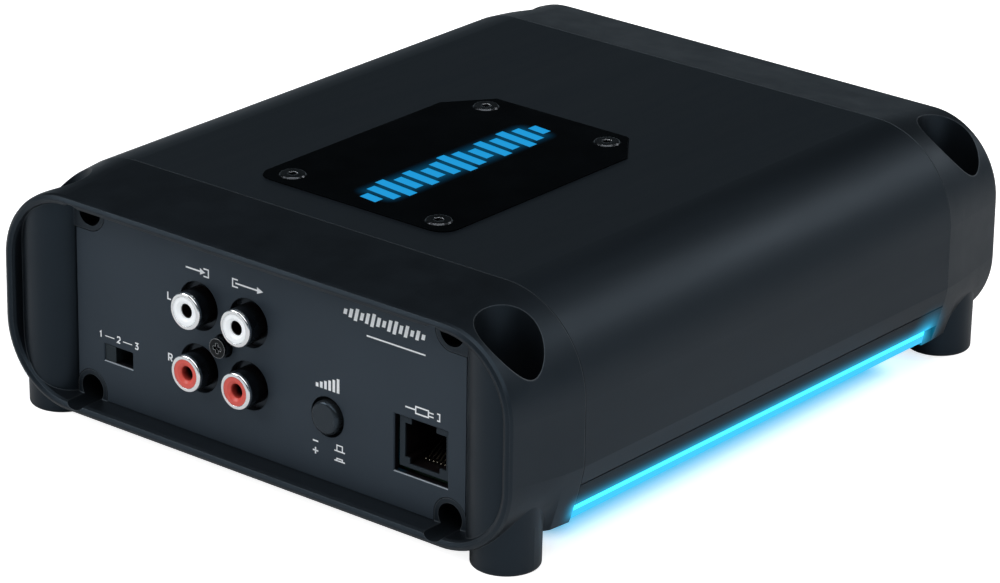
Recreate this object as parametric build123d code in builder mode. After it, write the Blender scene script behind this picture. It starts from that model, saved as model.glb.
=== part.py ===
"""Compact one-channel car amplifier: extruded aluminium body between two moulded end caps.

Units are millimetres. The origin is on the ground at the centre of the four feet, +Z is up, X runs
across the width and Y along the length. The audio jacks face -Y, the power terminals face +Y.
"""

import os
from math import cos, radians, sin

from build123d import *

os.makedirs("parts", exist_ok=True)

# ---------------------------------------------------------------- driving dimensions
# Body outline at the seams between the extrusion and the end caps
SEAM_Y = 64.4
SEAM_HALF_W = 73.0
SEAM_TOP = 55.3
SEAM_RADIUS = 21.0
BODY_HALF_L = 64.25
BODY_BOTTOM = 6.6
BODY_CORNER_X = 69.3
FLANK_TOP = 20.0
FLANK_BOW = (71.4, 13.2)

# Outline at the open rim of an end cap
RIM_Y = 86.0
RIM_HALF_W = 71.0
RIM_TOP = 52.8
RIM_RADIUS = 18.0
RIM_BOTTOM = 3.1
LIP = 2.3
LIP_ROUND = ((84.9, 0.0), (85.65, 0.3), (86.0, 1.0))
SKIRT_Y = 70.0

# Extrusions
SHELL_BOTTOM = 15.8
SHELL_SIDE_X = 70.4
SHELL_ROOF_Z = 51.8
SHELL_INNER_RADIUS = 18.0
RAIL_X = (64.0, 71.5)
RAIL_Z = (20.0, 40.0)
CHANNEL_RADIUS = 3.6
FLOOR_Z = (6.6, 8.6)
BASE_WALL_X = (63.0, 65.0)
BASE_TOP = 15.5
FLANGE_BOTTOM = 10.7
BASE_RAIL_RADIUS = 3.3

# Light bars along the bottom edges: outline in X and Z
LIGHT_BAR = ((65.9, 7.4), (69.5, 7.4), (70.05, 10.4), (65.9, 10.4))
LIGHT_BAR_Y = (-64.2, 60.5)
LIGHT_STRIP_X = (65.1, 65.7)

# Corner posts, feet and installer's screw holes
POST_X = 62.9
POST_Y = 76.8
POST_RADIUS = 8.2
SHAFT_RADIUS = 7.1
SHAFT_STEP_Z = 26.0
SHAFT_LOWER_RADIUS = 6.0
SHAFT_SEAT_Z = 10.0
FOOT_RADIUS = 7.4
FOOT_TOP_RADIUS = 7.5
MOUNT_HOLE_RADIUS = 2.4

# Cap screws
CAP_SCREW_X = 50.7
CAP_SCREW_Z = (7.3, 48.3)
BOSS_RADIUS = 4.3
CAP_RIB_RADIUS = 4.1
SCREW_ACCESS_RADIUS = 3.2
CAP_SCREW_SEAT_Y = 72.0
M3 = 1.5
FREE = 0.05

# Panels
PANEL_Y = 80.0
PANEL_THICK = 1.5
OPENING_CHAMFER = 0.2
PANEL_HALF_W = 54.7
BULKHEAD_Y = (76.5, 78.5)
WINDOW_HALF_W = 51.4
WINDOW_Z = (12.3, 43.8)

# Circuit board and its screws
BOARD_Z = (12.5, 14.1)
BOARD_TOP = BOARD_Z[1]
BOARD_HALF_W = 62.3
BOARD_HALF_L = 64.0
TONGUE_HALF_W = 53.0
TONGUE_HALF_L = 76.3
BOARD_SCREWS = [(x, y) for x in (-42.0, 42.0) for y in (-50.0, 0.0, 50.0)]

# Phono jacks: columns in X, rows in Z, white above red
JACK_X = (-19.0, -4.8)
JACK_Z = (35.1, 20.9)
JACK_RADIUS = 4.15
JACK_TIP_Y = -84.4
JACK_HOLE_RADIUS = 5.5
JACK_SCREW = (-11.9, 28.0)
JACK_SCREW_TIP_Y = -82.1

# Slide switch, push button and modular socket on the front panel
SLOT_X = (-46.9, -38.6)
SLOT_Z = (15.0, 18.8)
BUTTON = (17.3, 20.1)
BUTTON_RADIUS = 3.8
BUTTON_TIP_Y = -81.3
SOCKET_CUT_X = (35.5, 49.9)
SOCKET_CUT_Z = (13.5, 26.2)
SOCKET_X = (36.5, 49.7)
SOCKET_Z = (14.8, 26.1)
SOCKET_FACE_Y = -79.3
SOCKET_MOUTH_X = (37.9, 49.0)
SOCKET_MOUTH_Z = (17.0, 24.6)

# Rear terminals: pole centres in X with the wire radius each one takes
POWER_BLOCK_X = (-50.0, -20.9)
POWER_POLES = ((-44.4, 3.6), (-34.0, 3.6), (-25.2, 2.3))
SPEAKER_BLOCK_X = (24.6, 45.4)
SPEAKER_POLES = ((30.0, 3.0), (40.0, 3.0))
BLOCK_Y = (68.2, 84.5)
BLOCK_Z = (BOARD_TOP, 30.5)
WIRE_Z = 20.0
CLAMP_Z = 27.0
FUSE_X = 1.9
FUSE_Z = (19.0, 26.0)
FUSE_HOLDER_X = (-10.1, 13.9)

# Rear controls
KNOB_X = {"gain_knob": 36.0, "crossover_knob": 20.0, "boost_knob": 4.0}
LENS_X = (-12.0, -20.0)
CONTROL_Z = 39.0
KNOB_RADIUS = 3.2
CONTROL_BOARD_Y = (66.0, 67.6)

# Top plate and its lit emblem
BADGE_HALF_W = 26.6
BADGE_Y = (-54.0, 17.4)
BADGE_FRONT_RADIUS = 4.2
BADGE_REAR_CUT = (7.9, 10.4)
BADGE_Z = (54.1, 55.6)
BADGE_SCREWS = ((-20.5, -48.7), (20.5, -48.7), (-17.2, 11.8), (17.2, 11.8))
EMBLEM_X = 1.2
EMBLEM_Y = -20.0
EMBLEM_BARS = (5.0, 8.6, 11.0, 7.2, 9.6, 5.8, 8.0, 11.0, 9.0, 6.2, 10.2, 7.6, 11.0, 8.2, 5.0)
EMBLEM_PITCH = 4.0
EMBLEM_BAR_W = 2.8
EMBLEM_SLANT = 0.11
EMBLEM_WINDOW = (15.0, 63.0)

# Power stage
TRANSISTOR_Y = (-44.0, -30.0, 30.0, 44.0)
CLAMP_Y = (-37.0, 37.0)
CLAMP_SCREW_Z = 26.0
TRANSFORMER = (-12.0, 24.0)
INDUCTOR = (27.0, 26.0)
BULK_CAPACITORS = ((-30.0, -22.0), (-12.0, -22.0), (-30.0, -40.0), (-12.0, -40.0))
SMALL_CAPACITORS = ((6.0, -54.0), (18.0, -54.0), (30.0, -54.0), (30.0, -42.0))
CHIPS = ((12.0, -36.0), (12.0, -20.0), (34.0, -22.0), (-47.0, -22.0))
LEAD = ((12.0, -6.0), (14.6, -6.0))


# ---------------------------------------------------------------- helpers
def upright(y):
    """Upright plane across the body at y: local x is X, local y is Z, the normal is -Y."""
    return Plane.XZ.offset(-y)


def mix(start, end, share):
    return start + (end - start) * share


def block(x, y, z, mode=Mode.ADD):
    """Box between the two ends given for each axis."""
    with Locations((sum(x) / 2, sum(y) / 2, sum(z) / 2)):
        Box(x[1] - x[0], y[1] - y[0], z[1] - z[0], mode=mode)


def rod_x(x, y, z, radius, mode=Mode.ADD):
    with Locations(Location((sum(x) / 2, y, z), (0, 90, 0))):
        Cylinder(radius, x[1] - x[0], mode=mode)


def rod_y(x, y, z, radius, mode=Mode.ADD):
    with Locations(Location((x, sum(y) / 2, z), (90, 0, 0))):
        Cylinder(radius, y[1] - y[0], mode=mode)


def rod_z(x, y, z, radius, mode=Mode.ADD):
    with Locations((x, y, sum(z) / 2)):
        Cylinder(radius, z[1] - z[0], mode=mode)


def patch(x, z, mode=Mode.ADD):
    """Rectangle between the two ends given for each axis of the sketch."""
    with Locations((sum(x) / 2, sum(z) / 2)):
        Rectangle(x[1] - x[0], z[1] - z[0], mode=mode)


def dot(x, z, radius, mode=Mode.ADD):
    with Locations((x, z)):
        Circle(radius, mode=mode)


def outline(half_w, top, radius, bottom, corner_x, flank_top, flank_bow):
    """Face of the body's section: flat bottom, bowed flanks, upright sides and round top corners."""
    reach = radius * cos(radians(45))
    with BuildLine() as path:
        for side in (1, -1):
            ThreePointArc(
                (side * corner_x, bottom),
                (side * flank_bow[0], flank_bow[1]),
                (side * half_w, flank_top),
            )
            Line((side * half_w, flank_top), (side * half_w, top - radius))
            ThreePointArc(
                (side * half_w, top - radius),
                (side * (half_w - radius + reach), top - radius + reach),
                (side * (half_w - radius), top),
            )
        Line((-corner_x, bottom), (corner_x, bottom))
        Line((radius - half_w, top), (half_w - radius, top))
    make_face(path.edges())


def seam_outline():
    outline(SEAM_HALF_W, SEAM_TOP, SEAM_RADIUS, BODY_BOTTOM, BODY_CORNER_X, FLANK_TOP, FLANK_BOW)


def rim_outline(inset=0.0):
    """Section at the rim, where the bottom corners are as round as the top ones."""
    radius = RIM_RADIUS - inset
    centre_x = RIM_HALF_W - RIM_RADIUS
    centre_z = RIM_BOTTOM + RIM_RADIUS
    reach = radius * cos(radians(45))
    outline(
        RIM_HALF_W - inset,
        RIM_TOP - inset,
        radius,
        RIM_BOTTOM + inset,
        centre_x,
        centre_z,
        (centre_x + reach, centre_z - reach),
    )


def boss_corner(side, z, grow=0.0):
    """Block around a cap screw, in an upright sketch: upper ones also fill the corner outside."""
    x = side * CAP_SCREW_X
    upper = z > SEAM_TOP / 2
    reach = 9.0
    radius = BOSS_RADIUS + grow
    far = x + side * reach
    dot(x, z, radius)
    if upper:
        patch(sorted((x, far)), (z - radius, z + radius))
        patch(sorted((x - side * radius, far)), (z, z + reach))
    else:
        patch((x - radius, x + radius), (z - reach, z))


def cross_recess_y(x, y, z, depth, half=1.5):
    """Cross recess cut into a screw head whose face is at y; depth is signed along Y."""
    reach = sorted((y - depth / 10, y + depth))
    block((x - half, x + half), reach, (z - 0.35, z + 0.35), Mode.SUBTRACT)
    block((x - 0.35, x + 0.35), reach, (z - half, z + half), Mode.SUBTRACT)


def badge_outline(grow=0.0):
    """Plate outline: a rectangle with rounded corners in front and long cut ones behind."""
    half_w = BADGE_HALF_W + grow
    front = BADGE_Y[0] - grow
    rear = BADGE_Y[1] + grow
    radius = BADGE_FRONT_RADIUS + grow
    bend = radius * (1 - cos(radians(45)))
    with BuildLine() as path:
        for side in (1, -1):
            cut_start = (side * half_w, rear - BADGE_REAR_CUT[1])
            Line((side * (half_w - BADGE_REAR_CUT[0]), rear), cut_start)
            Line(cut_start, (side * half_w, front + radius))
            ThreePointArc(
                (side * half_w, front + radius),
                (side * (half_w - bend), front + bend),
                (side * (half_w - radius), front),
            )
        Line((BADGE_REAR_CUT[0] - half_w, rear), (half_w - BADGE_REAR_CUT[0], rear))
        Line((radius - half_w, front), (half_w - radius, front))
    make_face(path.edges())


def emblem_bars(grow=0.0, mode=Mode.ADD):
    """Row of slanted level bars, a plain sound motif."""
    start = EMBLEM_Y - EMBLEM_PITCH * (len(EMBLEM_BARS) - 1) / 2
    for index, height in enumerate(EMBLEM_BARS):
        y = start + EMBLEM_PITCH * index
        half_h = height / 2 + grow
        half_w = EMBLEM_BAR_W / 2 + grow
        lean = EMBLEM_SLANT * half_h
        Polygon(
            (EMBLEM_X - half_h, y - half_w + lean),
            (EMBLEM_X + half_h, y - half_w - lean),
            (EMBLEM_X + half_h, y + half_w - lean),
            (EMBLEM_X - half_h, y + half_w + lean),
            align=None,
            mode=mode,
        )


def panel_blank():
    """Panel sketch with the four corners cut back around the cap screw bosses."""
    patch((-PANEL_HALF_W, PANEL_HALF_W), (RIM_BOTTOM + LIP + 0.1, RIM_TOP - LIP - 0.1))
    with BuildSketch(mode=Mode.PRIVATE) as corners:
        for z in CAP_SCREW_Z:
            for side in (1, -1):
                boss_corner(side, z, 0.15)
    add(corners.sketch, mode=Mode.SUBTRACT)


# ---------------------------------------------------------------- end caps
# The space inside a cap: the open recess, the window behind the panel and the cavity up to the
# seam, less the four corner posts and the four screw bosses.
with BuildPart() as cap_space:
    with BuildSketch(upright(-BULKHEAD_Y[1])):
        rim_outline(LIP)
    extrude(amount=RIM_Y - BULKHEAD_Y[1] + 1)
    for y, drawn_in in LIP_ROUND:
        with BuildSketch(upright(-y)):
            rim_outline(LIP - drawn_in)
    loft(ruled=True)
    with BuildSketch(upright(-SEAM_Y + 1)):
        outline(69.4, 51.4, 17.5, 8.8, 65.4, FLANK_TOP, (68.2, 13.4))
    extrude(amount=BULKHEAD_Y[0] - SEAM_Y + 1)
    block((-WINDOW_HALF_W, WINDOW_HALF_W), (-BULKHEAD_Y[1] - 0.1, -BULKHEAD_Y[0] + 0.1), WINDOW_Z)
    with BuildSketch(upright(-SEAM_Y + 2)):
        for z in CAP_SCREW_Z:
            for side in (1, -1):
                boss_corner(side, z)
    extrude(amount=PANEL_Y - SEAM_Y + 2, mode=Mode.SUBTRACT)
    for side in (1, -1):
        rod_z(side * POST_X, -POST_Y, (0, SEAM_TOP + 5), POST_RADIUS, Mode.SUBTRACT)

with BuildPart() as front_end_cap:
    skirt_share = (SKIRT_Y - SEAM_Y) / (RIM_Y - SEAM_Y)
    skirt_w = mix(SEAM_HALF_W, RIM_HALF_W, skirt_share)
    drawn_in = SEAM_HALF_W - skirt_w
    with BuildSketch(upright(-SEAM_Y)):
        seam_outline()
    with BuildSketch(upright(-SKIRT_Y)):
        outline(
            skirt_w,
            mix(SEAM_TOP, RIM_TOP, skirt_share),
            mix(SEAM_RADIUS, RIM_RADIUS, skirt_share),
            BODY_BOTTOM,
            BODY_CORNER_X - drawn_in,
            FLANK_TOP,
            (FLANK_BOW[0] - drawn_in, FLANK_BOW[1]),
        )
    for y, drawn_in in LIP_ROUND:
        with BuildSketch(upright(-y)):
            rim_outline(drawn_in)
    loft(ruled=True)
    for side in (1, -1):
        rod_y(side * CAP_SCREW_X, (-RIM_Y + 1.1, -SEAM_Y), CAP_SCREW_Z[0], CAP_RIB_RADIUS)
    add(cap_space.part, mode=Mode.SUBTRACT)
    for side in (1, -1):
        x = side * POST_X
        with Locations((x, -POST_Y, SHAFT_SEAT_Z / 2)):
            Cone(FOOT_RADIUS, FOOT_TOP_RADIUS, SHAFT_SEAT_Z)
        rod_z(x, -POST_Y, (SHAFT_SEAT_Z, SHAFT_STEP_Z - 1), FOOT_TOP_RADIUS)
        rod_z(x, -POST_Y, (SHAFT_STEP_Z, SEAM_TOP + 5), SHAFT_RADIUS, Mode.SUBTRACT)
        rod_z(x, -POST_Y, (SHAFT_SEAT_Z, SHAFT_STEP_Z + 1), SHAFT_LOWER_RADIUS, Mode.SUBTRACT)
        rod_z(x, -POST_Y, (-1, SHAFT_SEAT_Z + 1), MOUNT_HOLE_RADIUS, Mode.SUBTRACT)
        for z in CAP_SCREW_Z:
            x = side * CAP_SCREW_X
            rod_y(x, (-RIM_Y - 1, -CAP_SCREW_SEAT_Y), z, SCREW_ACCESS_RADIUS, Mode.SUBTRACT)
            rod_y(x, (-CAP_SCREW_SEAT_Y - 1, -SEAM_Y + 1), z, M3 + FREE, Mode.SUBTRACT)
    fillet(
        front_end_cap.edges()
        .filter_by(GeomType.CIRCLE)
        .filter_by(lambda edge: abs(edge.center().Z) < 0.01 and edge.radius > FOOT_RADIUS - 0.1),
        0.7,
    )
front_end_cap.part.label = "front_end_cap"
export_step(front_end_cap.part, "parts/front_end_cap.step")

with BuildPart() as rear_end_cap:
    add(front_end_cap.part.rotate(Axis.Z, 180))
rear_end_cap.part.label = "rear_end_cap"
export_step(rear_end_cap.part, "parts/rear_end_cap.step")

# ---------------------------------------------------------------- extruded body
with BuildPart() as heatsink_shell:
    with BuildSketch(upright(BODY_HALF_L)):
        seam_outline()
        patch((-SHELL_SIDE_X, SHELL_SIDE_X), (0, 33.8), Mode.SUBTRACT)
        inner_centre = SHELL_SIDE_X - SHELL_INNER_RADIUS
        patch((-inner_centre, inner_centre), (33.7, SHELL_ROOF_Z), Mode.SUBTRACT)
        for side in (1, -1):
            dot(side * inner_centre, 33.8, SHELL_INNER_RADIUS, Mode.SUBTRACT)
        patch((-SEAM_HALF_W, SEAM_HALF_W), (0, SHELL_BOTTOM), Mode.SUBTRACT)
        for side in (1, -1):
            x = side * CAP_SCREW_X
            patch(sorted((side * RAIL_X[0], side * RAIL_X[1])), RAIL_Z)
            patch(sorted((side * 66.0, side * 71.8)), (SHELL_BOTTOM, 18.3))
            dot(x, CAP_SCREW_Z[1], CHANNEL_RADIUS)
            patch((x - 2.0, x + 2.0), (CAP_SCREW_Z[1], 53.0))
            dot(x, CAP_SCREW_Z[1], M3 + FREE, Mode.SUBTRACT)
    extrude(amount=2 * BODY_HALF_L)
    with BuildSketch(Plane.XY.offset(BADGE_Z[0])):
        badge_outline(0.12)
    extrude(amount=3, mode=Mode.SUBTRACT)
    with Locations((EMBLEM_X, EMBLEM_Y, SHELL_ROOF_Z)):
        Box(EMBLEM_WINDOW[0], EMBLEM_WINDOW[1], 8, mode=Mode.SUBTRACT)
    for x, y in BADGE_SCREWS:
        rod_z(x, y, (SHELL_ROOF_Z - 1, BADGE_Z[0] + 1), M3 + FREE, Mode.SUBTRACT)
    for side in (1, -1):
        for y in CLAMP_Y:
            rod_x(sorted((side * 63, side * 70.5)), y, CLAMP_SCREW_Z, M3 + FREE, Mode.SUBTRACT)
heatsink_shell.part.label = "heatsink_shell"
export_step(heatsink_shell.part, "parts/heatsink_shell.step")

with BuildPart() as base_plate:
    with BuildSketch(upright(BODY_HALF_L)):
        seam_outline()
        patch((-80, 80), (BASE_TOP, 60), Mode.SUBTRACT)
        patch((-80, 80), (0, FLANGE_BOTTOM), Mode.SUBTRACT)
        patch((-BASE_WALL_X[0], BASE_WALL_X[0]), (0, 60), Mode.SUBTRACT)
        patch((-BASE_WALL_X[1], BASE_WALL_X[1]), FLOOR_Z)
        for side in (1, -1):
            patch(sorted((side * BASE_WALL_X[0], side * BASE_WALL_X[1])), (FLOOR_Z[0], BASE_TOP))
            patch(sorted((side * BASE_WALL_X[1], side * 67.0)), (FLOOR_Z[0], 7.1))
            dot(side * CAP_SCREW_X, CAP_SCREW_Z[0], BASE_RAIL_RADIUS)
            dot(side * CAP_SCREW_X, CAP_SCREW_Z[0], M3 + FREE, Mode.SUBTRACT)
    extrude(amount=2 * BODY_HALF_L)
    for side in (1, -1):
        end_block_x = sorted((side * (BASE_WALL_X[1] - 0.5), side * BODY_CORNER_X))
        block(end_block_x, (LIGHT_BAR_Y[1] + 0.1, BODY_HALF_L), (FLOOR_Z[0], FLANGE_BOTTOM + 0.5))
    for x, y in BOARD_SCREWS:
        rod_z(x, y, (FLOOR_Z[1] - 0.5, BOARD_Z[0]), 3.0)
        rod_z(x, y, (FLOOR_Z[0] + 1, BOARD_Z[0] + 1), M3 + FREE, Mode.SUBTRACT)
base_plate.part.label = "base_plate"
export_step(base_plate.part, "parts/base_plate.step")

with BuildPart() as cap_screws:
    for end in (1, -1):
        for side in (1, -1):
            for z in CAP_SCREW_Z:
                x = side * CAP_SCREW_X
                face = end * (CAP_SCREW_SEAT_Y + 2.2)
                rod_y(x, sorted((end * CAP_SCREW_SEAT_Y, face)), z, 2.7)
                rod_y(x, sorted((end * CAP_SCREW_SEAT_Y, end * 54.0)), z, M3)
                cross_recess_y(x, face, z, -end * 1.3)
cap_screws.part.label = "cap_screws"
export_step(cap_screws.part, "parts/cap_screws.step")

# ---------------------------------------------------------------- edge lighting
for name, side in (("light_bar_right", 1), ("light_bar_left", -1)):
    with BuildPart() as light_bar:
        with BuildSketch(upright(LIGHT_BAR_Y[1])):
            Polygon(*[(side * x, z) for x, z in LIGHT_BAR], align=None)
        extrude(amount=LIGHT_BAR_Y[1] - LIGHT_BAR_Y[0])
    light_bar.part.label = name
    export_step(light_bar.part, f"parts/{name}.step")

for name, side in (("light_strip_right", 1), ("light_strip_left", -1)):
    with BuildPart() as light_strip:
        block(sorted((side * LIGHT_STRIP_X[0], side * LIGHT_STRIP_X[1])), (-63.5, 60.0), (7.5, 10.3))
    light_strip.part.label = name
    export_step(light_strip.part, f"parts/{name}.step")

# ---------------------------------------------------------------- top plate
with BuildPart() as badge_plate:
    with BuildSketch(Plane.XY.offset(BADGE_Z[0])):
        badge_outline()
        emblem_bars(0.0, Mode.SUBTRACT)
        for x, y in BADGE_SCREWS:
            dot(x, y, M3 + 0.1, Mode.SUBTRACT)
    extrude(amount=BADGE_Z[1] - BADGE_Z[0])
    for x, y in BADGE_SCREWS:
        rod_z(x, y, (BADGE_Z[0] + 0.6, BADGE_Z[1] + 1), 3.1, Mode.SUBTRACT)
badge_plate.part.label = "badge_plate"
export_step(badge_plate.part, "parts/badge_plate.step")

with BuildPart() as badge_light_guide:
    with Locations((EMBLEM_X, EMBLEM_Y, BADGE_Z[0] - 0.85)):
        Box(EMBLEM_WINDOW[0] - 0.2, EMBLEM_WINDOW[1] - 0.2, 1.6)
    with BuildSketch(Plane.XY.offset(BADGE_Z[0] - 0.1)):
        emblem_bars(-0.06)
    extrude(amount=BADGE_Z[1] - BADGE_Z[0])
badge_light_guide.part.label = "badge_light_guide"
export_step(badge_light_guide.part, "parts/badge_light_guide.step")

with BuildPart() as badge_screws:
    for x, y in BADGE_SCREWS:
        rod_z(x, y, (BADGE_Z[0] + 0.6, BADGE_Z[1] + 0.2), 3.0)
        rod_z(x, y, (48.3, BADGE_Z[0] + 0.7), M3)
    chamfer(badge_screws.edges().filter_by(GeomType.CIRCLE).group_by(Axis.Z)[-1], 0.3)
    with BuildSketch(Plane.XY.offset(BADGE_Z[1] + 0.2)):
        for x, y in BADGE_SCREWS:
            with Locations((x, y)):
                RegularPolygon(1.15, 6)
    extrude(amount=-0.9, mode=Mode.SUBTRACT)
badge_screws.part.label = "badge_screws"
export_step(badge_screws.part, "parts/badge_screws.step")

with BuildPart() as emblem_light_board:
    with BuildSketch(Plane.XY.offset(50.6)):
        patch((-24.5, 24.5), (-52.5, 15.6))
        for x, y in BADGE_SCREWS:
            dot(x, y, M3 + 0.1, Mode.SUBTRACT)
    extrude(amount=1.1)
emblem_light_board.part.label = "emblem_light_board"
export_step(emblem_light_board.part, "parts/emblem_light_board.step")

with BuildPart() as badge_nuts:
    with BuildSketch(Plane.XY.offset(48.2)):
        for x, y in BADGE_SCREWS:
            with Locations((x, y)):
                RegularPolygon(3.1, 6)
            dot(x, y, M3 + FREE, Mode.SUBTRACT)
    extrude(amount=2.35)
badge_nuts.part.label = "badge_nuts"
export_step(badge_nuts.part, "parts/badge_nuts.step")

# ---------------------------------------------------------------- panels
with BuildPart() as front_panel:
    with BuildSketch(upright(-PANEL_Y + PANEL_THICK)):
        panel_blank()
        for x in JACK_X:
            for z in JACK_Z:
                dot(x, z, JACK_HOLE_RADIUS, Mode.SUBTRACT)
        dot(*JACK_SCREW, 2.6, Mode.SUBTRACT)
        dot(*BUTTON, BUTTON_RADIUS + 0.7, Mode.SUBTRACT)
        patch(SLOT_X, SLOT_Z, Mode.SUBTRACT)
        patch(SOCKET_CUT_X, SOCKET_CUT_Z, Mode.SUBTRACT)
    extrude(amount=PANEL_THICK)
    face = front_panel.faces().filter_by(Axis.Y).sort_by(Axis.Y)[0]
    openings = [wire for wire in face.inner_wires() if len(wire.edges()) == 4]
    chamfer([edge for wire in openings for edge in wire.edges()], OPENING_CHAMFER)
front_panel.part.label = "front_panel"
export_step(front_panel.part, "parts/front_panel.step")

with BuildPart() as rear_panel:
    with BuildSketch(upright(PANEL_Y)):
        panel_blank()
        for x in (POWER_BLOCK_X, SPEAKER_BLOCK_X, FUSE_HOLDER_X):
            patch((x[0] - 0.2, x[1] + 0.2), (BLOCK_Z[0] - 0.2, BLOCK_Z[1] + 0.2), Mode.SUBTRACT)
        for x in KNOB_X.values():
            dot(x, CONTROL_Z, KNOB_RADIUS + 0.4, Mode.SUBTRACT)
        for x in LENS_X:
            dot(x, CONTROL_Z, 1.6, Mode.SUBTRACT)
    extrude(amount=PANEL_THICK)
rear_panel.part.label = "rear_panel"
export_step(rear_panel.part, "parts/rear_panel.step")

# ---------------------------------------------------------------- circuit board
with BuildPart() as main_board:
    with BuildSketch(Plane.XY.offset(BOARD_Z[0])):
        patch((-BOARD_HALF_W, BOARD_HALF_W), (-BOARD_HALF_L, BOARD_HALF_L))
        patch((-TONGUE_HALF_W, TONGUE_HALF_W), (-TONGUE_HALF_L, TONGUE_HALF_L))
        for x, y in BOARD_SCREWS:
            dot(x, y, M3 + 0.15, Mode.SUBTRACT)
    extrude(amount=BOARD_TOP - BOARD_Z[0])
main_board.part.label = "main_board"
export_step(main_board.part, "parts/main_board.step")

with BuildPart() as board_screws:
    for x, y in BOARD_SCREWS:
        rod_z(x, y, (BOARD_TOP, BOARD_TOP + 2.2), 2.7)
        rod_z(x, y, (BOARD_TOP - 6.2, BOARD_TOP), M3)
        for half_x, half_y in ((1.5, 0.35), (0.35, 1.5)):
            block((x - half_x, x + half_x), (y - half_y, y + half_y), (15.1, 16.5), Mode.SUBTRACT)
board_screws.part.label = "board_screws"
export_step(board_screws.part, "parts/board_screws.step")

# ---------------------------------------------------------------- phono jacks
with BuildPart() as rca_block:
    block((-27.0, 3.2), (-78.4, -66.0), (BOARD_TOP, 42.6))
    for x in JACK_X:
        for z in JACK_Z:
            rod_y(x, (JACK_TIP_Y + 0.9, -78.0), z, JACK_RADIUS)
            rod_y(x, (JACK_TIP_Y, -68.0), z, 3.7, Mode.SUBTRACT)
    x, z = JACK_SCREW
    rod_y(x, (JACK_SCREW_TIP_Y + 0.8, -78.0), z, 2.3)
    rod_y(x, (JACK_SCREW_TIP_Y, -70.0), z, 1.05, Mode.SUBTRACT)
rca_block.part.label = "rca_block"
export_step(rca_block.part, "parts/rca_block.step")

with BuildPart() as rca_sleeves:
    for x in JACK_X:
        for z in JACK_Z:
            rod_y(x, (JACK_TIP_Y, JACK_TIP_Y + 0.88), z, JACK_RADIUS)
            rod_y(x, (JACK_TIP_Y + 0.8, -68.5), z, 3.65)
    fillet(rca_sleeves.edges().filter_by(GeomType.CIRCLE).group_by(Axis.Y)[0], 0.45)
    for x in JACK_X:
        for z in JACK_Z:
            rod_y(x, (JACK_TIP_Y - 1, -68.0), z, 3.25, Mode.SUBTRACT)
rca_sleeves.part.label = "rca_sleeves"
export_step(rca_sleeves.part, "parts/rca_sleeves.step")

for name, z in zip(("rca_inserts_white", "rca_inserts_red"), JACK_Z):
    with BuildPart() as rca_inserts:
        for x in JACK_X:
            rod_y(x, (JACK_TIP_Y + 0.1, -68.6), z, 3.2)
            rod_y(x, (JACK_TIP_Y - 1, -68.0), z, 1.65, Mode.SUBTRACT)
            rod_y(x, (-80.7, -68.0), z, 1.75, Mode.SUBTRACT)
            with Locations(Location((x, JACK_TIP_Y + 0.35, z), (90, 0, 0))):
                Cone(1.6, 2.3, 0.5, mode=Mode.SUBTRACT)
    rca_inserts.part.label = name
    export_step(rca_inserts.part, f"parts/{name}.step")

with BuildPart() as rca_contacts:
    for x in JACK_X:
        for z in JACK_Z:
            rod_y(x, (-80.5, -68.4), z, 1.7)
            rod_y(x, (-81.0, -70.0), z, 1.4, Mode.SUBTRACT)
rca_contacts.part.label = "rca_contacts"
export_step(rca_contacts.part, "parts/rca_contacts.step")

with BuildPart() as rca_block_screw:
    x, z = JACK_SCREW
    rod_y(x, (JACK_SCREW_TIP_Y, JACK_SCREW_TIP_Y + 0.8), z, 2.2)
    rod_y(x, (JACK_SCREW_TIP_Y + 0.7, -71.0), z, 1.0)
    cross_recess_y(x, JACK_SCREW_TIP_Y, z, 0.6, 1.1)
rca_block_screw.part.label = "rca_block_screw"
export_step(rca_block_screw.part, "parts/rca_block_screw.step")

# ---------------------------------------------------------------- front controls
with BuildPart() as mode_switch_body:
    block((SLOT_X[0] - 2.0, SLOT_X[1] + 2.0), (-78.4, -73.0), (BOARD_TOP, SLOT_Z[1] + 1.6))
    block((SLOT_X[0] - 0.1, SLOT_X[1] + 0.1), (-78.5, -75.0), SLOT_Z, Mode.SUBTRACT)
mode_switch_body.part.label = "mode_switch_body"
export_step(mode_switch_body.part, "parts/mode_switch_body.step")

with BuildPart() as mode_switch_knob:
    block((SLOT_X[0] + 0.1, SLOT_X[0] + 3.1), (-79.7, -75.1), (SLOT_Z[0] + 0.15, SLOT_Z[1] - 0.15))
mode_switch_knob.part.label = "mode_switch_knob"
export_step(mode_switch_knob.part, "parts/mode_switch_knob.step")

with BuildPart() as level_switch_body:
    block((BUTTON[0] - 5.0, BUTTON[0] + 5.0), (-78.4, -66.0), (BOARD_TOP, BUTTON[1] + 5.0))
    rod_y(BUTTON[0], (-79.0, -73.4), BUTTON[1], BUTTON_RADIUS + 0.07, Mode.SUBTRACT)
    rod_y(BUTTON[0], (-74.0, -68.5), BUTTON[1], 2.3, Mode.SUBTRACT)
level_switch_body.part.label = "level_switch_body"
export_step(level_switch_body.part, "parts/level_switch_body.step")

with BuildPart() as level_button:
    rod_y(BUTTON[0], (BUTTON_TIP_Y, -76.0), BUTTON[1], BUTTON_RADIUS)
    rod_y(BUTTON[0], (-76.1, -71.5), BUTTON[1], 2.0)
    fillet(level_button.edges().filter_by(GeomType.CIRCLE).group_by(Axis.Y)[0], 0.9)
level_button.part.label = "level_button"
export_step(level_button.part, "parts/level_button.step")

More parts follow.
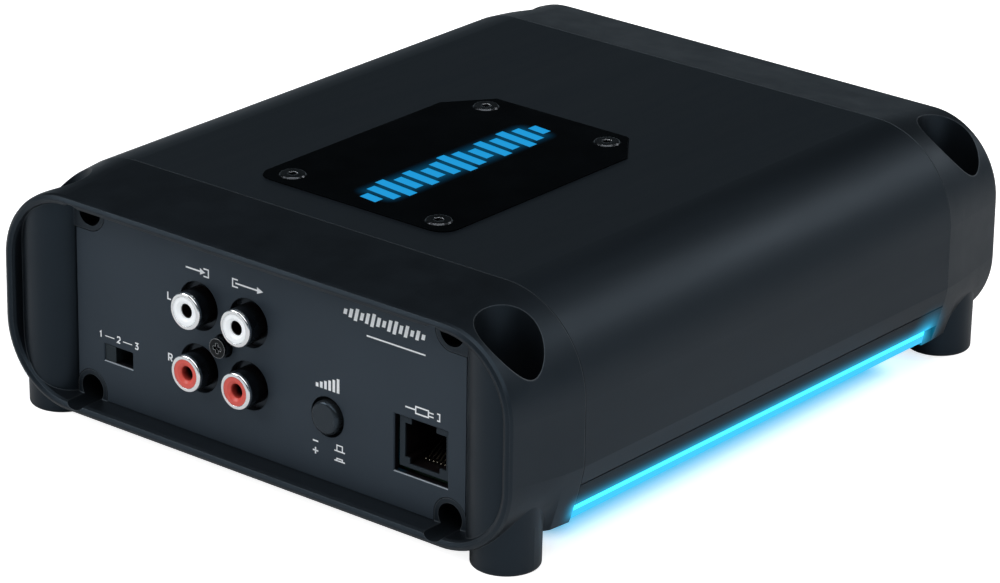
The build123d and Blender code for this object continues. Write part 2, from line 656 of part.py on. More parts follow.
# ---------------------------------------------------------------- modular socket
with BuildPart() as remote_jack:
    block(SOCKET_X, (SOCKET_FACE_Y, -65.5), SOCKET_Z)
    block(SOCKET_X, (-TONGUE_HALF_L, -65.5), (BOARD_TOP, SOCKET_Z[1]))
    block(SOCKET_MOUTH_X, (-PANEL_Y - 1, -67.5), SOCKET_MOUTH_Z, Mode.SUBTRACT)
    block((39.6, 46.3), (-PANEL_Y - 1, -76.5), (SOCKET_MOUTH_Z[1] - 0.1, SOCKET_Z[1] + 0.1), Mode.SUBTRACT)
    block((39.2, 47.2), (-PANEL_Y - 1, -67.5), (15.7, SOCKET_MOUTH_Z[0] + 0.1), Mode.SUBTRACT)
remote_jack.part.label = "remote_jack"
export_step(remote_jack.part, "parts/remote_jack.step")

with BuildPart() as remote_jack_contacts:
    for index in range(6):
        x = 43.2 + 1.02 * (index - 2.5)
        block((x - 0.22, x + 0.22), (-76.0, -67.6), (15.8, 16.3))
        block((x - 0.22, x + 0.22), (-68.3, -67.6), (15.8, 20.0))
remote_jack_contacts.part.label = "remote_jack_contacts"
export_step(remote_jack_contacts.part, "parts/remote_jack_contacts.step")

# ---------------------------------------------------------------- rear terminals
CAGE_GAP = 0.05


def cage_half_width(wire):
    return wire + 1.1


def terminal_block(x_range, poles):
    """Terminal housing with a pocket, a wire mouth and a screw opening for each pole."""
    block(x_range, BLOCK_Y, BLOCK_Z)
    for x, wire in poles:
        half = cage_half_width(wire) + CAGE_GAP
        block((x - half, x + half), (72.0, BLOCK_Y[1] - 1.5), (15.3, 29.5), Mode.SUBTRACT)
        rod_y(x, (80.0, BLOCK_Y[1] + 1), WIRE_Z, wire + 0.2, Mode.SUBTRACT)
        rod_y(x, (80.0, BLOCK_Y[1] + 1), CLAMP_Z, 2.5, Mode.SUBTRACT)


with BuildPart() as power_terminal_block:
    terminal_block(POWER_BLOCK_X, POWER_POLES)
power_terminal_block.part.label = "power_terminal_block"
export_step(power_terminal_block.part, "parts/power_terminal_block.step")

with BuildPart() as speaker_terminal_block:
    terminal_block(SPEAKER_BLOCK_X, SPEAKER_POLES)
speaker_terminal_block.part.label = "speaker_terminal_block"
export_step(speaker_terminal_block.part, "parts/speaker_terminal_block.step")

with BuildPart() as terminal_cages:
    for x, wire in POWER_POLES + SPEAKER_POLES:
        half = cage_half_width(wire)
        block((x - half, x + half), (72.05, BLOCK_Y[1] - 1.55), (15.35, 29.45))
        rod_y(x, (74.0, BLOCK_Y[1]), WIRE_Z, wire, Mode.SUBTRACT)
        rod_y(x, (73.0, BLOCK_Y[1]), CLAMP_Z, M3 + FREE, Mode.SUBTRACT)
terminal_cages.part.label = "terminal_cages"
export_step(terminal_cages.part, "parts/terminal_cages.step")

with BuildPart() as terminal_screws:
    for x, _wire in POWER_POLES + SPEAKER_POLES:
        rod_y(x, (BLOCK_Y[1] - 1.55, BLOCK_Y[1] - 0.2), CLAMP_Z, 2.2)
        rod_y(x, (74.0, BLOCK_Y[1] - 1.5), CLAMP_Z, M3)
        cross_recess_y(x, BLOCK_Y[1] - 0.2, CLAMP_Z, -0.9)
terminal_screws.part.label = "terminal_screws"
export_step(terminal_screws.part, "parts/terminal_screws.step")

with BuildPart() as fuse_holder:
    block(FUSE_HOLDER_X, (BLOCK_Y[0], 81.0), BLOCK_Z)
    for z in FUSE_Z:
        block((FUSE_X - 9.8, FUSE_X + 9.8), (74.2, 82.0), (z - 2.75, z + 2.75), Mode.SUBTRACT)
        for offset in (-6.6, 6.6):
            x = FUSE_X + offset
            block((x - 2.8, x + 2.8), (69.4, 75.0), (z - 0.5, z + 0.5), Mode.SUBTRACT)
fuse_holder.part.label = "fuse_holder"
export_step(fuse_holder.part, "parts/fuse_holder.step")

with BuildPart() as blade_fuses:
    for z in FUSE_Z:
        block((FUSE_X - 9.5, FUSE_X + 9.5), (74.3, 82.6), (z - 1.9, z + 1.9))
        block((FUSE_X - 9.5, FUSE_X + 9.5), (82.6, 84.8), (z - 2.6, z + 2.6))
        for offset in (-6.6, 6.6):
            x = FUSE_X + offset
            block((x - 2.6, x + 2.6), (69.6, 74.4), (z - 0.33, z + 0.33))
blade_fuses.part.label = "blade_fuses"
export_step(blade_fuses.part, "parts/blade_fuses.step")

# ---------------------------------------------------------------- rear controls
for name, x in KNOB_X.items():
    with BuildPart() as knob:
        rod_y(x, (78.0, 81.7), CONTROL_Z, KNOB_RADIUS)
        chamfer(knob.edges().filter_by(GeomType.CIRCLE).group_by(Axis.Y)[-1], 0.3)
        rod_y(x, (71.2, 78.1), CONTROL_Z, M3)
        block((x - 0.45, x + 0.45), (80.7, 82.0), (CONTROL_Z, CONTROL_Z + 4), Mode.SUBTRACT)
    knob.part.label = name
    export_step(knob.part, f"parts/{name}.step")

with BuildPart() as control_pots:
    for x in KNOB_X.values():
        block((x - 4.7, x + 4.7), (CONTROL_BOARD_Y[1], 77.6), (34.8, 43.2))
        rod_y(x, (71.0, 78.0), CONTROL_Z, M3 + 0.07, Mode.SUBTRACT)
control_pots.part.label = "control_pots"
export_step(control_pots.part, "parts/control_pots.step")

with BuildPart() as control_board:
    block((-26.0, 44.0), CONTROL_BOARD_Y, (17.2, 46.5))
control_board.part.label = "control_board"
export_step(control_board.part, "parts/control_board.step")

with BuildPart() as control_header:
    block((-10.0, 30.0), (65.4, CONTROL_BOARD_Y[1]), (BOARD_TOP, 17.2))
control_header.part.label = "control_header"
export_step(control_header.part, "parts/control_header.step")

with BuildPart() as status_leds:
    for x in LENS_X:
        block((x - 1.6, x + 1.6), (CONTROL_BOARD_Y[1], 68.7), (CONTROL_Z - 1.6, CONTROL_Z + 1.6))
status_leds.part.label = "status_leds"
export_step(status_leds.part, "parts/status_leds.step")

with BuildPart() as status_lenses:
    for x in LENS_X:
        rod_y(x, (68.8, 80.5), CONTROL_Z, M3)
        rod_y(x, (76.9, 78.3), CONTROL_Z, 2.4)
    fillet(status_lenses.edges().filter_by(GeomType.CIRCLE).group_by(Axis.Y)[-1], 0.5)
status_lenses.part.label = "status_lenses"
export_step(status_lenses.part, "parts/status_lenses.step")

# ---------------------------------------------------------------- power stage
with BuildPart() as power_transistors:
    for side in (1, -1):
        for y in TRANSISTOR_Y:
            block(sorted((side * 59.1, side * 63.4)), (y - 5, y + 5), (20.3, 29.4))
            block(sorted((side * 62.1, side * 63.4)), (y - 5, y + 5), (29.3, 35.6))
            for pin in (-2.54, 0, 2.54):
                block(
                    sorted((side * 60.4, side * 61.0)),
                    (y + pin - 0.5, y + pin + 0.5),
                    (BOARD_TOP, 20.4),
                )
            rod_x(sorted((side * 62, side * 64)), y, 32.4, 1.8, Mode.SUBTRACT)
power_transistors.part.label = "power_transistors"
export_step(power_transistors.part, "parts/power_transistors.step")

with BuildPart() as thermal_pads:
    for side in (1, -1):
        for y in CLAMP_Y:
            block(sorted((side * 63.4, side * RAIL_X[0])), (y - 13, y + 13), (20.3, 36.2))
            rod_x(sorted((side * 63, side * 65)), y, CLAMP_SCREW_Z, 1.8, Mode.SUBTRACT)
thermal_pads.part.label = "thermal_pads"
export_step(thermal_pads.part, "parts/thermal_pads.step")

with BuildPart() as clamp_bars:
    for side in (1, -1):
        for y in CLAMP_Y:
            block(sorted((side * 57.1, side * 59.1)), (y - 12, y + 12), (23.5, 28.5))
            rod_x(sorted((side * 57, side * 60)), y, CLAMP_SCREW_Z, 1.7, Mode.SUBTRACT)
clamp_bars.part.label = "clamp_bars"
export_step(clamp_bars.part, "parts/clamp_bars.step")

with BuildPart() as clamp_screws:
    for side in (1, -1):
        for y in CLAMP_Y:
            rod_x(sorted((side * 54.9, side * 57.1)), y, CLAMP_SCREW_Z, 2.7)
            rod_x(sorted((side * 57.0, side * 69.0)), y, CLAMP_SCREW_Z, M3)
            socket = sorted((side * 54.0, side * 56.2))
            block(socket, (y - 1.5, y + 1.5), (CLAMP_SCREW_Z - 0.35, CLAMP_SCREW_Z + 0.35), Mode.SUBTRACT)
            block(socket, (y - 0.35, y + 0.35), (CLAMP_SCREW_Z - 1.5, CLAMP_SCREW_Z + 1.5), Mode.SUBTRACT)
clamp_screws.part.label = "clamp_screws"
export_step(clamp_screws.part, "parts/clamp_screws.step")

with BuildPart() as transformer_core:
    rod_z(*TRANSFORMER, (17.0, 33.0), 17.0)
    rod_z(*TRANSFORMER, (16.0, 34.0), 8.5, Mode.SUBTRACT)
transformer_core.part.label = "transformer_core"
export_step(transformer_core.part, "parts/transformer_core.step")

with BuildPart() as transformer_winding:
    with BuildSketch(Plane.XZ):
        patch((6.0, 19.6), (BOARD_TOP + 0.1, 35.7))
        patch((8.4, 17.1), (16.9, 33.1), Mode.SUBTRACT)
    revolve(axis=Axis.Z, revolution_arc=150)
    add(transformer_winding.part.rotate(Axis.Z, 180))
transformer_winding.part.position = (*TRANSFORMER, 0)
transformer_winding.part.label = "transformer_winding"
export_step(transformer_winding.part, "parts/transformer_winding.step")

with BuildPart() as output_inductor:
    block((INDUCTOR[0] - 12, INDUCTOR[0] + 12), (INDUCTOR[1] - 12, INDUCTOR[1] + 12), (BOARD_TOP, 16.4))
    rod_z(*INDUCTOR, (16.3, 31.0), 8.6)
    rod_z(*INDUCTOR, (31.0, 33.0), 11.5)
output_inductor.part.label = "output_inductor"
export_step(output_inductor.part, "parts/output_inductor.step")

with BuildPart() as bulk_capacitors:
    for x, y in BULK_CAPACITORS:
        rod_z(x, y, (BOARD_TOP, BOARD_TOP + 25), 8.0)
    fillet(bulk_capacitors.edges().filter_by(GeomType.CIRCLE).group_by(Axis.Z)[-1], 0.9)
bulk_capacitors.part.label = "bulk_capacitors"
export_step(bulk_capacitors.part, "parts/bulk_capacitors.step")

with BuildPart() as small_capacitors:
    for x, y in SMALL_CAPACITORS:
        rod_z(x, y, (BOARD_TOP, BOARD_TOP + 12), 4.0)
    fillet(small_capacitors.edges().filter_by(GeomType.CIRCLE).group_by(Axis.Z)[-1], 0.6)
small_capacitors.part.label = "small_capacitors"
export_step(small_capacitors.part, "parts/small_capacitors.step")

with BuildPart() as control_chips:
    for x, y in CHIPS:
        block((x - 3.0, x + 3.0), (y - 5.0, y + 5.0), (BOARD_TOP, BOARD_TOP + 2.4))
control_chips.part.label = "control_chips"
export_step(control_chips.part, "parts/control_chips.step")

with BuildPart() as emblem_lead:
    for x, y in LEAD:
        rod_z(x, y, (BOARD_TOP, 50.6), 0.8)
    block((LEAD[0][0] - 2.0, LEAD[1][0] + 2.0), (LEAD[0][1] - 2.5, LEAD[0][1] + 2.5), (BOARD_TOP, 20.0))
emblem_lead.part.label = "emblem_lead"
export_step(emblem_lead.part, "parts/emblem_lead.step")
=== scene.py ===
"""Looks of the compact car amplifier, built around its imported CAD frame."""

import math

import bmesh
import bpy
from mathutils import Matrix, Vector


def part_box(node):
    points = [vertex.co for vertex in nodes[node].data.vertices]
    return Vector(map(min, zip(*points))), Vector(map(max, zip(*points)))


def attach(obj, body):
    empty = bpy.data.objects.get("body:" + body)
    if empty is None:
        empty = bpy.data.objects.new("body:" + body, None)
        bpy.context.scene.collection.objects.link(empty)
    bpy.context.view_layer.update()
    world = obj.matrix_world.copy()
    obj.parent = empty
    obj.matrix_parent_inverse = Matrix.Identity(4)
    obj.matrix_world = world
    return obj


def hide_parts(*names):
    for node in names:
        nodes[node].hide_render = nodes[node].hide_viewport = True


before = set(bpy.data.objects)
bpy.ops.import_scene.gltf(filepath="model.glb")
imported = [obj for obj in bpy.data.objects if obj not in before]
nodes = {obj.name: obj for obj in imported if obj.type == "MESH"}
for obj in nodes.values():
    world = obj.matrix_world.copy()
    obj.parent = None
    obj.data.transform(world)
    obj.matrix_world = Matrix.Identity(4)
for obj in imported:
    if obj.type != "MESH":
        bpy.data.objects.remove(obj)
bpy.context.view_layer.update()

MM = 0.001
ROOT = "amplifier"

# ------------------------------------------------------------------ look values
BLUE_LIGHT = (0.020, 0.580, 1.0)
EMBLEM_LIGHT = (0.010, 0.420, 0.90)
SLANT = math.sqrt(0.5)


# ------------------------------------------------------------------ node helpers
class Tree:
    """Small wrapper that adds and links shader nodes."""

    def __init__(self, owner):
        self.tree = owner.node_tree
        self.tree.nodes.clear()

    def add(self, kind, inputs=None, **settings):
        node = self.tree.nodes.new(kind)
        for key, value in settings.items():
            setattr(node, key, value)
        for key, value in (inputs or {}).items():
            self.set(node, key, value)
        return node

    def set(self, node, key, value):
        if isinstance(value, bpy.types.NodeSocket):
            self.tree.links.new(value, node.inputs[key])
        elif isinstance(value, bpy.types.Node):
            self.tree.links.new(value.outputs[0], node.inputs[key])
        else:
            node.inputs[key].default_value = value


def rgba(colour):
    return (*colour[:3], 1.0)


def surface(
    name,
    colour,
    roughness,
    metallic=0.0,
    grain=None,
    grain_height=0.02,
    mottle=0.12,
    mottle_scale=60.0,
    rough_spread=0.06,
    rough_scale=120.0,
    stretch=(1.0, 1.0, 1.0),
    edge=0.15,
    edge_light=0.0,
    edge_highlight_colour=None,
    coat=0.0,
    coat_roughness=0.05,
    specular=0.5,
    specular_tint=(1.0, 1.0, 1.0),
    transmission=0.0,
    emission=None,
    emission_strength=0.0,
    glow=None,
    subsurface=0.0,
    shade=None,
    chamfer_highlight=None,
):
    """Principled material with mottled colour, varied roughness, a fine bump and rounded edges, where
    edge_light paints a highlight.

    grain is the size of the finest texture in millimetres, grain_height its height in millimetres.
    glow takes the tree and the place socket and gives a factor that scales the emission.
    shade takes the same and gives a factor that darkens the colour.
    The last argument is a painted highlight colour for chamfers that face up and to the front, where light
    from above catches them.
    """
    material = bpy.data.materials.new(name)
    material.use_nodes = True
    t = Tree(material)
    place = t.add("ShaderNodeTexCoord")
    mapping = t.add("ShaderNodeMapping", {"Vector": place.outputs["Object"], "Scale": stretch})
    blotch = t.add(
        "ShaderNodeTexNoise",
        {"Vector": mapping, "Scale": mottle_scale, "Detail": 6.0, "Roughness": 0.6},
    )
    tint = t.add(
        "ShaderNodeValToRGB",
        {"Fac": blotch.outputs["Fac"]},
    )
    tint.color_ramp.elements[0].position = 0.28
    tint.color_ramp.elements[1].position = 0.72
    tint.color_ramp.elements[0].color = rgba([c * (1.0 - mottle) for c in colour])
    tint.color_ramp.elements[1].color = rgba([min(1.0, c * (1.0 + mottle)) for c in colour])
    colour_out = tint.outputs["Color"]
    # Painted highlight: edges found by the bevel normal are lightened towards a highlight colour, standing
    # in for light caught on rounded edges.
    if edge_light > 0:
        highlight_bevel = t.add("ShaderNodeBevel", {"Radius": 0.35 * MM}, samples=6)
        flat = t.add("ShaderNodeNewGeometry")
        apart = t.add(
            "ShaderNodeVectorMath",
            {0: highlight_bevel.outputs["Normal"], 1: flat.outputs["Normal"]},
            operation="DOT_PRODUCT",
        )
        spread = t.add(
            "ShaderNodeMapRange",
            {"Value": apart.outputs["Value"], "From Min": 0.98, "From Max": 0.8, "To Max": edge_light},
        )
        rim_highlight_colour = edge_highlight_colour or [min(1, c * 3 + 0.03) for c in colour]
        blend = t.add(
            "ShaderNodeMix",
            {0: spread.outputs["Result"], 6: colour_out, 7: rgba(rim_highlight_colour)},
            data_type="RGBA",
        )
        colour_out = blend.outputs[2]
    wear = t.add(
        "ShaderNodeTexNoise",
        {"Vector": mapping, "Scale": rough_scale, "Detail": 5.0, "Roughness": 0.55},
    )
    rough = t.add(
        "ShaderNodeMapRange",
        {
            "Value": wear.outputs["Fac"],
            "From Min": 0.3,
            "From Max": 0.7,
            "To Min": max(0.02, roughness - rough_spread),
            "To Max": min(1.0, roughness + rough_spread),
        },
    )
    if shade:
        darkened = t.add(
            "ShaderNodeMix",
            {0: shade(t, place.outputs["Object"]), 6: colour_out, 7: (0.004, 0.002, 0.002, 1)},
            data_type="RGBA",
        )
        colour_out = darkened.outputs[2]
    # Painted highlight on chamfers that face up and to the front.
    if chamfer_highlight:
        facing = t.add(
            "ShaderNodeVectorMath",
            {0: t.add("ShaderNodeNewGeometry").outputs["Normal"], 1: (0, -SLANT, SLANT)},
            operation="DOT_PRODUCT",
        )
        share = t.add(
            "ShaderNodeMapRange", {"Value": facing.outputs["Value"], "From Min": 0.93, "From Max": 0.97}
        )
        lit_chamfer = t.add(
            "ShaderNodeMix", {0: share.outputs["Result"], 6: colour_out, 7: rgba(chamfer_highlight)}, data_type="RGBA"
        )
        colour_out = lit_chamfer.outputs[2]
    shader = t.add("ShaderNodeBsdfPrincipled")
    t.set(shader, "Base Color", colour_out)
    t.set(shader, "Roughness", rough.outputs["Result"])
    shader.inputs["Metallic"].default_value = metallic
    shader.inputs["Coat Weight"].default_value = coat
    shader.inputs["Coat Roughness"].default_value = coat_roughness
    shader.inputs["Specular IOR Level"].default_value = specular
    shader.inputs["Specular Tint"].default_value = rgba(specular_tint)
    shader.inputs["Transmission Weight"].default_value = transmission
    shader.inputs["Subsurface Weight"].default_value = subsurface
    shader.inputs["Subsurface Radius"].default_value = (0.001, 0.0006, 0.0004)
    if emission:
        shader.inputs["Emission Color"].default_value = rgba(emission)
        if glow:
            t.set(shader, "Emission Strength", glow(t, place.outputs["Object"], emission_strength))
        else:
            shader.inputs["Emission Strength"].default_value = emission_strength
    normal = None
    if edge > 0:
        normal = t.add("ShaderNodeBevel", {"Radius": edge * MM}, samples=4).outputs["Normal"]
    if grain:
        grit = t.add(
            "ShaderNodeTexNoise",
            {"Vector": mapping, "Scale": 1000.0 / grain, "Detail": 3.0, "Roughness": 0.6},
        )
        bump = t.add(
            "ShaderNodeBump",
            {"Height": grit.outputs["Fac"], "Distance": grain_height * MM, "Strength": 1.0},
        )
        if normal:
            t.set(bump, "Normal", normal)
        normal = bump.outputs["Normal"]
    if normal:
        t.set(shader, "Normal", normal)
    out = t.add("ShaderNodeOutputMaterial")
    t.set(out, "Surface", shader)
    return material


# ------------------------------------------------------------------ glow falloffs, for the lamps and for painted glows
def folded_x(t, place):
    """Place with X made positive, so that one formula serves both sides."""
    axes = t.add("ShaderNodeSeparateXYZ", {0: place})
    width = t.add("ShaderNodeMath", {0: axes.outputs["X"]}, operation="ABSOLUTE")
    return t.add(
        "ShaderNodeCombineXYZ", {0: width.outputs[0], 1: axes.outputs["Y"], 2: axes.outputs["Z"]}
    ).outputs[0]


def falloff(t, distance, reach, power, strength):
    """Strength that fades to nothing at reach; a higher power fades faster at first."""
    near = t.add(
        "ShaderNodeMapRange",
        {"Value": distance, "From Min": 0.0, "From Max": reach, "To Min": 1.0, "To Max": 0.0},
    )
    steep = t.add("ShaderNodeMath", {0: near.outputs["Result"], 1: power}, operation="POWER")
    return t.add("ShaderNodeMath", {0: steep.outputs[0], 1: strength}, operation="MULTIPLY").outputs[0]


def beyond(t, place, centre, half):
    """Distance from a place to a box given by its centre and half sizes."""
    local = t.add("ShaderNodeVectorMath", {0: place, 1: centre}, operation="SUBTRACT")
    size = t.add("ShaderNodeVectorMath", {0: local.outputs[0]}, operation="ABSOLUTE")
    over = t.add("ShaderNodeVectorMath", {0: size.outputs[0], 1: half}, operation="SUBTRACT")
    outside = t.add("ShaderNodeVectorMath", {0: over.outputs[0], 1: (0, 0, 0)}, operation="MAXIMUM")
    return t.add("ShaderNodeVectorMath", {0: outside.outputs[0]}, operation="LENGTH").outputs["Value"]


BAR_LOW, BAR_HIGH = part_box("light_bar_right")
BAR_CENTRE = (BAR_LOW + BAR_HIGH) / 2
BAR_CORE_SHARE = 0.66
BAR_CORE_Z = BAR_LOW.z + BAR_CORE_SHARE * (BAR_HIGH.z - BAR_LOW.z)
BAR_DIM_SHARE = 0.24
CORE_BELOW, CORE_ABOVE = 0.35 * MM, 0.10 * MM
BAR_AXIS_Z = BAR_HIGH.z - 0.7 * MM
SPILL_HALF_X, SPILL_HALF_Z = 0.3 * MM, 0.6 * MM
SPILL_REACH, SPILL_FADE = 8.0 * MM, 7.0
END_FADE, END_SHARE = 2.2, 0.5
EMBLEM_LOW, EMBLEM_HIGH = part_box("badge_light_guide")
EMBLEM_CENTRE = (EMBLEM_LOW + EMBLEM_HIGH) / 2
EMBLEM_FLANGE_X, EMBLEM_FLANGE_Y = 4.6 * MM, 6.0 * MM
EMBLEM_REACH, EMBLEM_FADE = 3.6 * MM, 1.6
INSERT_FRONT_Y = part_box("rca_inserts_red")[0].y
LIFT_START, LIFT_END = 0.6 * MM, 0.9 * MM


def bar_core(t, place, strength):
    """Light bar: full strength in its upper third, dim deep light below."""
    axes = t.add("ShaderNodeSeparateXYZ", {0: place})
    step = t.add(
        "ShaderNodeMapRange",
        {
            "Value": axes.outputs["Z"],
            "From Min": BAR_CORE_Z - CORE_BELOW,
            "From Max": BAR_CORE_Z + CORE_ABOVE,
            "To Min": BAR_DIM_SHARE * strength,
            "To Max": strength,
        },
        interpolation_type="SMOOTHSTEP",
    )
    return step.outputs["Result"]


def bar_spill(t, place, strength):
    """Painted glow that stands in for the light the bars throw on the surfaces right beside them."""
    half = (SPILL_HALF_X, (BAR_HIGH.y - BAR_LOW.y) / 2, SPILL_HALF_Z)
    centre = (BAR_HIGH.x, BAR_CENTRE.y, BAR_AXIS_Z)
    return falloff(t, beyond(t, folded_x(t, place), centre, half), SPILL_REACH, SPILL_FADE, strength)


def end_spill(t, place, strength):
    """Painted glow beside the bars, with a wider patch round their rear ends."""
    tip = (BAR_HIGH.x, BAR_HIGH.y, BAR_AXIS_Z)
    away = beyond(t, folded_x(t, place), tip, (SPILL_HALF_X, 0.5 * MM, SPILL_HALF_Z))
    end_patch = falloff(t, away, SPILL_REACH, END_FADE, END_SHARE * strength)
    return t.add("ShaderNodeMath", {0: bar_spill(t, place, strength), 1: end_patch}).outputs[0]


def emblem_halo(t, place, strength):
    """Painted glow that stands in for the light the emblem throws on the plate around it."""
    size = EMBLEM_HIGH - EMBLEM_LOW
    half = (size.x / 2 - EMBLEM_FLANGE_X, size.y / 2 - EMBLEM_FLANGE_Y, 10 * MM)
    return falloff(t, beyond(t, place, EMBLEM_CENTRE, half), EMBLEM_REACH, EMBLEM_FADE, strength)


def insert_painted_glow(t, place, strength):
    """Painted glow that brightens the front of a jack insert and fades out behind it."""
    axes = t.add("ShaderNodeSeparateXYZ", {0: place})
    limits = {"From Min": INSERT_FRONT_Y + LIFT_START, "From Max": INSERT_FRONT_Y + LIFT_END}
    limits.update({"To Min": strength, "To Max": 0.0})
    return t.add("ShaderNodeMapRange", {"Value": axes.outputs["Y"], **limits}).outputs["Result"]


def depth_shade(node, start, end):
    """Darkening of recesses, from start to end millimetres behind the front face of a node."""
    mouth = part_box(node)[0].y

    def shade(t, place):
        axes = t.add("ShaderNodeSeparateXYZ", {0: place})
        limits = {"From Min": mouth + start * MM, "From Max": mouth + end * MM}
        return t.add("ShaderNodeMapRange", {"Value": axes.outputs["Y"], **limits}).outputs["Result"]

    return shade


# ------------------------------------------------------------------ materials of the CAD nodes
# Blue tint on reflections, standing in for cool light.
COOL = (0.56, 0.78, 1.0)
# Shell and base: painted blue glow beside the light bars, and a painted highlight on their edges.
SHELL_LOOK = {
    "grain": 0.22, "grain_height": 0.008, "rough_spread": 0.05, "rough_scale": 90, "stretch": (1, 0.12, 1),
    "edge": 0.12, "edge_light": 0.25, "specular_tint": COOL, "emission": BLUE_LIGHT,
    "emission_strength": 1.1, "glow": end_spill,
}
SHELL_COLOUR = (0.0046, 0.0062, 0.0082)
shell_finish = surface("anodised_black", SHELL_COLOUR, 0.44, specular=0.42, **SHELL_LOOK)
base_finish = surface("base_black", SHELL_COLOUR, 0.48, specular=0.26, **SHELL_LOOK)
# Caps: painted highlight on their edges, and painted blue glow beside the light bars.
CAP_LOOK = {
    "grain": 0.35, "grain_height": 0.010, "rough_spread": 0.05, "edge": 0.30, "edge_light": 0.9,
    "edge_highlight_colour": (0.075, 0.083, 0.090), "specular": 0.44, "specular_tint": COOL, "emission": BLUE_LIGHT,
}
CAP_COLOUR = (0.0046, 0.0058, 0.0074)
cap_finish = surface(
    "cap_moulding", CAP_COLOUR, 0.40, emission_strength=1.1, glow=bar_spill, **CAP_LOOK
)
rear_cap_finish = surface(
    "rear_cap_moulding", CAP_COLOUR, 0.40, emission_strength=1.1, glow=end_spill, **CAP_LOOK
)
# Front panel: painted highlight on chamfers that face up and to the front, and painted shade in its cut
# edges.
panel_finish = surface(
    "panel_paint", (0.0240, 0.0310, 0.0400), 0.50, grain=0.30, grain_height=0.008,
    rough_spread=0.04, edge=0.15, specular=0.5, specular_tint=COOL, chamfer_highlight=(0.30, 0.33, 0.36),
    shade=depth_shade("front_panel", 0.3, 0.5),
)
rear_panel_finish = surface(
    "rear_panel_paint", (0.0240, 0.0310, 0.0400), 0.50, grain=0.30, grain_height=0.008,
    rough_spread=0.04, edge=0.15, specular=0.5, specular_tint=COOL,
)
# Gloss plate with a painted halo of emblem light round the emblem.
badge_finish = surface(
    "badge_gloss", (0.0010, 0.0014, 0.0018), 0.12, mottle=0.2, rough_spread=0.03, edge=0.10,
    specular=0.03, specular_tint=COOL, emission=EMBLEM_LIGHT, emission_strength=0.12, glow=emblem_halo,
)
# Screws: painted highlight on the rims of their heads.
screw_finish = surface(
    "black_screw", (0.045, 0.050, 0.056), 0.22, metallic=1.0, grain=0.25, grain_height=0.006,
    edge=0.20, edge_light=1.0, edge_highlight_colour=(0.55, 0.57, 0.60),
)
deep_screw_finish = surface(
    "black_steel_screw", (0.012, 0.013, 0.014), 0.34, metallic=0.6, grain=0.25, grain_height=0.010,
    edge=0.12, edge_light=0.3,
)
jack_screw_finish = surface(
    "jack_screw", (0.020, 0.022, 0.024), 0.22, metallic=1.0, grain=0.25, grain_height=0.006,
    edge=0.10, edge_light=1.0, edge_highlight_colour=(0.40, 0.42, 0.44),
)
# A duller copy of the connector black, standing in for shade in the panel's holes, with painted shade deep
# behind its face.
jack_block_finish = surface(
    "jack_block_black", (0.0030, 0.0034, 0.0040), 0.26, grain=0.3, grain_height=0.008, edge=0.15,
    specular=0.34, specular_tint=COOL, shade=depth_shade("rca_block", 3.0, 4.4),
)
# Painted shade: a darker, duller copy of the connector black for the switch bodies set deep in the panel.
shaded_pit_finish = surface(
    "shaded_switch_housing", (0.0012, 0.0016, 0.0030), 0.50, grain=0.3, grain_height=0.008, edge=0.15,
    specular=0.10, specular_tint=COOL,
)
connector_finish = surface(
    "connector_black", (0.0032, 0.0036, 0.0042), 0.34, grain=0.3, grain_height=0.008, edge=0.15,
    specular=0.42, specular_tint=COOL,
)
jack_grey_finish = surface(
    "grey_plastic", (0.0200, 0.0260, 0.0320), 0.46, grain=0.3, grain_height=0.008, edge=0.15,
    specular=0.25, specular_tint=COOL, shade=depth_shade("remote_jack", 0.2, 0.6),
)
slide_finish = surface(
    "slide_plastic", (0.0100, 0.0140, 0.0150), 0.40, grain=0.3, grain_height=0.008, edge=0.2,
    edge_light=0.5, specular=0.4, specular_tint=COOL,
)
button_finish = surface(
    "button_grey", (0.0150, 0.0175, 0.0200), 0.24, grain=0.3, grain_height=0.004, edge=0.10,
    specular=0.5, specular_tint=COOL,
)
knob_finish = surface(
    "knob_black", (0.006, 0.006, 0.007), 0.38, grain=0.3, grain_height=0.012, edge=0.2,
)
nickel_finish = surface(
    "bright_nickel", (0.94, 0.96, 0.98), 0.12, metallic=1.0, mottle=0.03, rough_spread=0.04,
    edge=0.15,
)
# Jack inserts: a painted glow at their front, and painted shade in their bores.
white_finish = surface(
    "white_insulator", (0.92, 0.95, 0.97), 0.34, grain=0.4, grain_height=0.006, mottle=0.02,
    edge=0.2, emission=(0.92, 0.97, 1.0), emission_strength=0.22, glow=insert_painted_glow,
    shade=depth_shade("rca_inserts_red", 0.6, 0.95),
)
red_finish = surface(
    "red_insulator", (0.60, 0.068, 0.052), 0.34, grain=0.4, grain_height=0.006, mottle=0.05,
    edge=0.2, emission=(1.0, 0.19, 0.15), emission_strength=0.14, glow=insert_painted_glow,
    shade=depth_shade("rca_inserts_red", 0.6, 2.6),
)
gold_finish = surface(
    "gold_plate", (0.56, 0.50, 0.40), 0.26, metallic=1.0, mottle=0.06, edge=0.08,
)
light_finish = surface(
    "blue_light", (0.01, 0.10, 0.30), 0.35, mottle=0.04, edge=0.15,
    emission=BLUE_LIGHT, emission_strength=3.8, glow=bar_core,
)
emblem_finish = surface(
    "emblem_light", (0.004, 0.030, 0.080), 0.45, mottle=0.04, edge=0.1, specular=0.2,
    emission=EMBLEM_LIGHT, emission_strength=0.70,
)
light_board_finish = surface(
    "white_board", (0.72, 0.74, 0.74), 0.4, grain=0.5, grain_height=0.01, mottle=0.05,
    emission=BLUE_LIGHT, emission_strength=0.4,
)
board_finish = surface(
    "green_board", (0.006, 0.050, 0.018), 0.28, grain=0.6, grain_height=0.02, mottle=0.35,
    mottle_scale=300, coat=0.3,
)
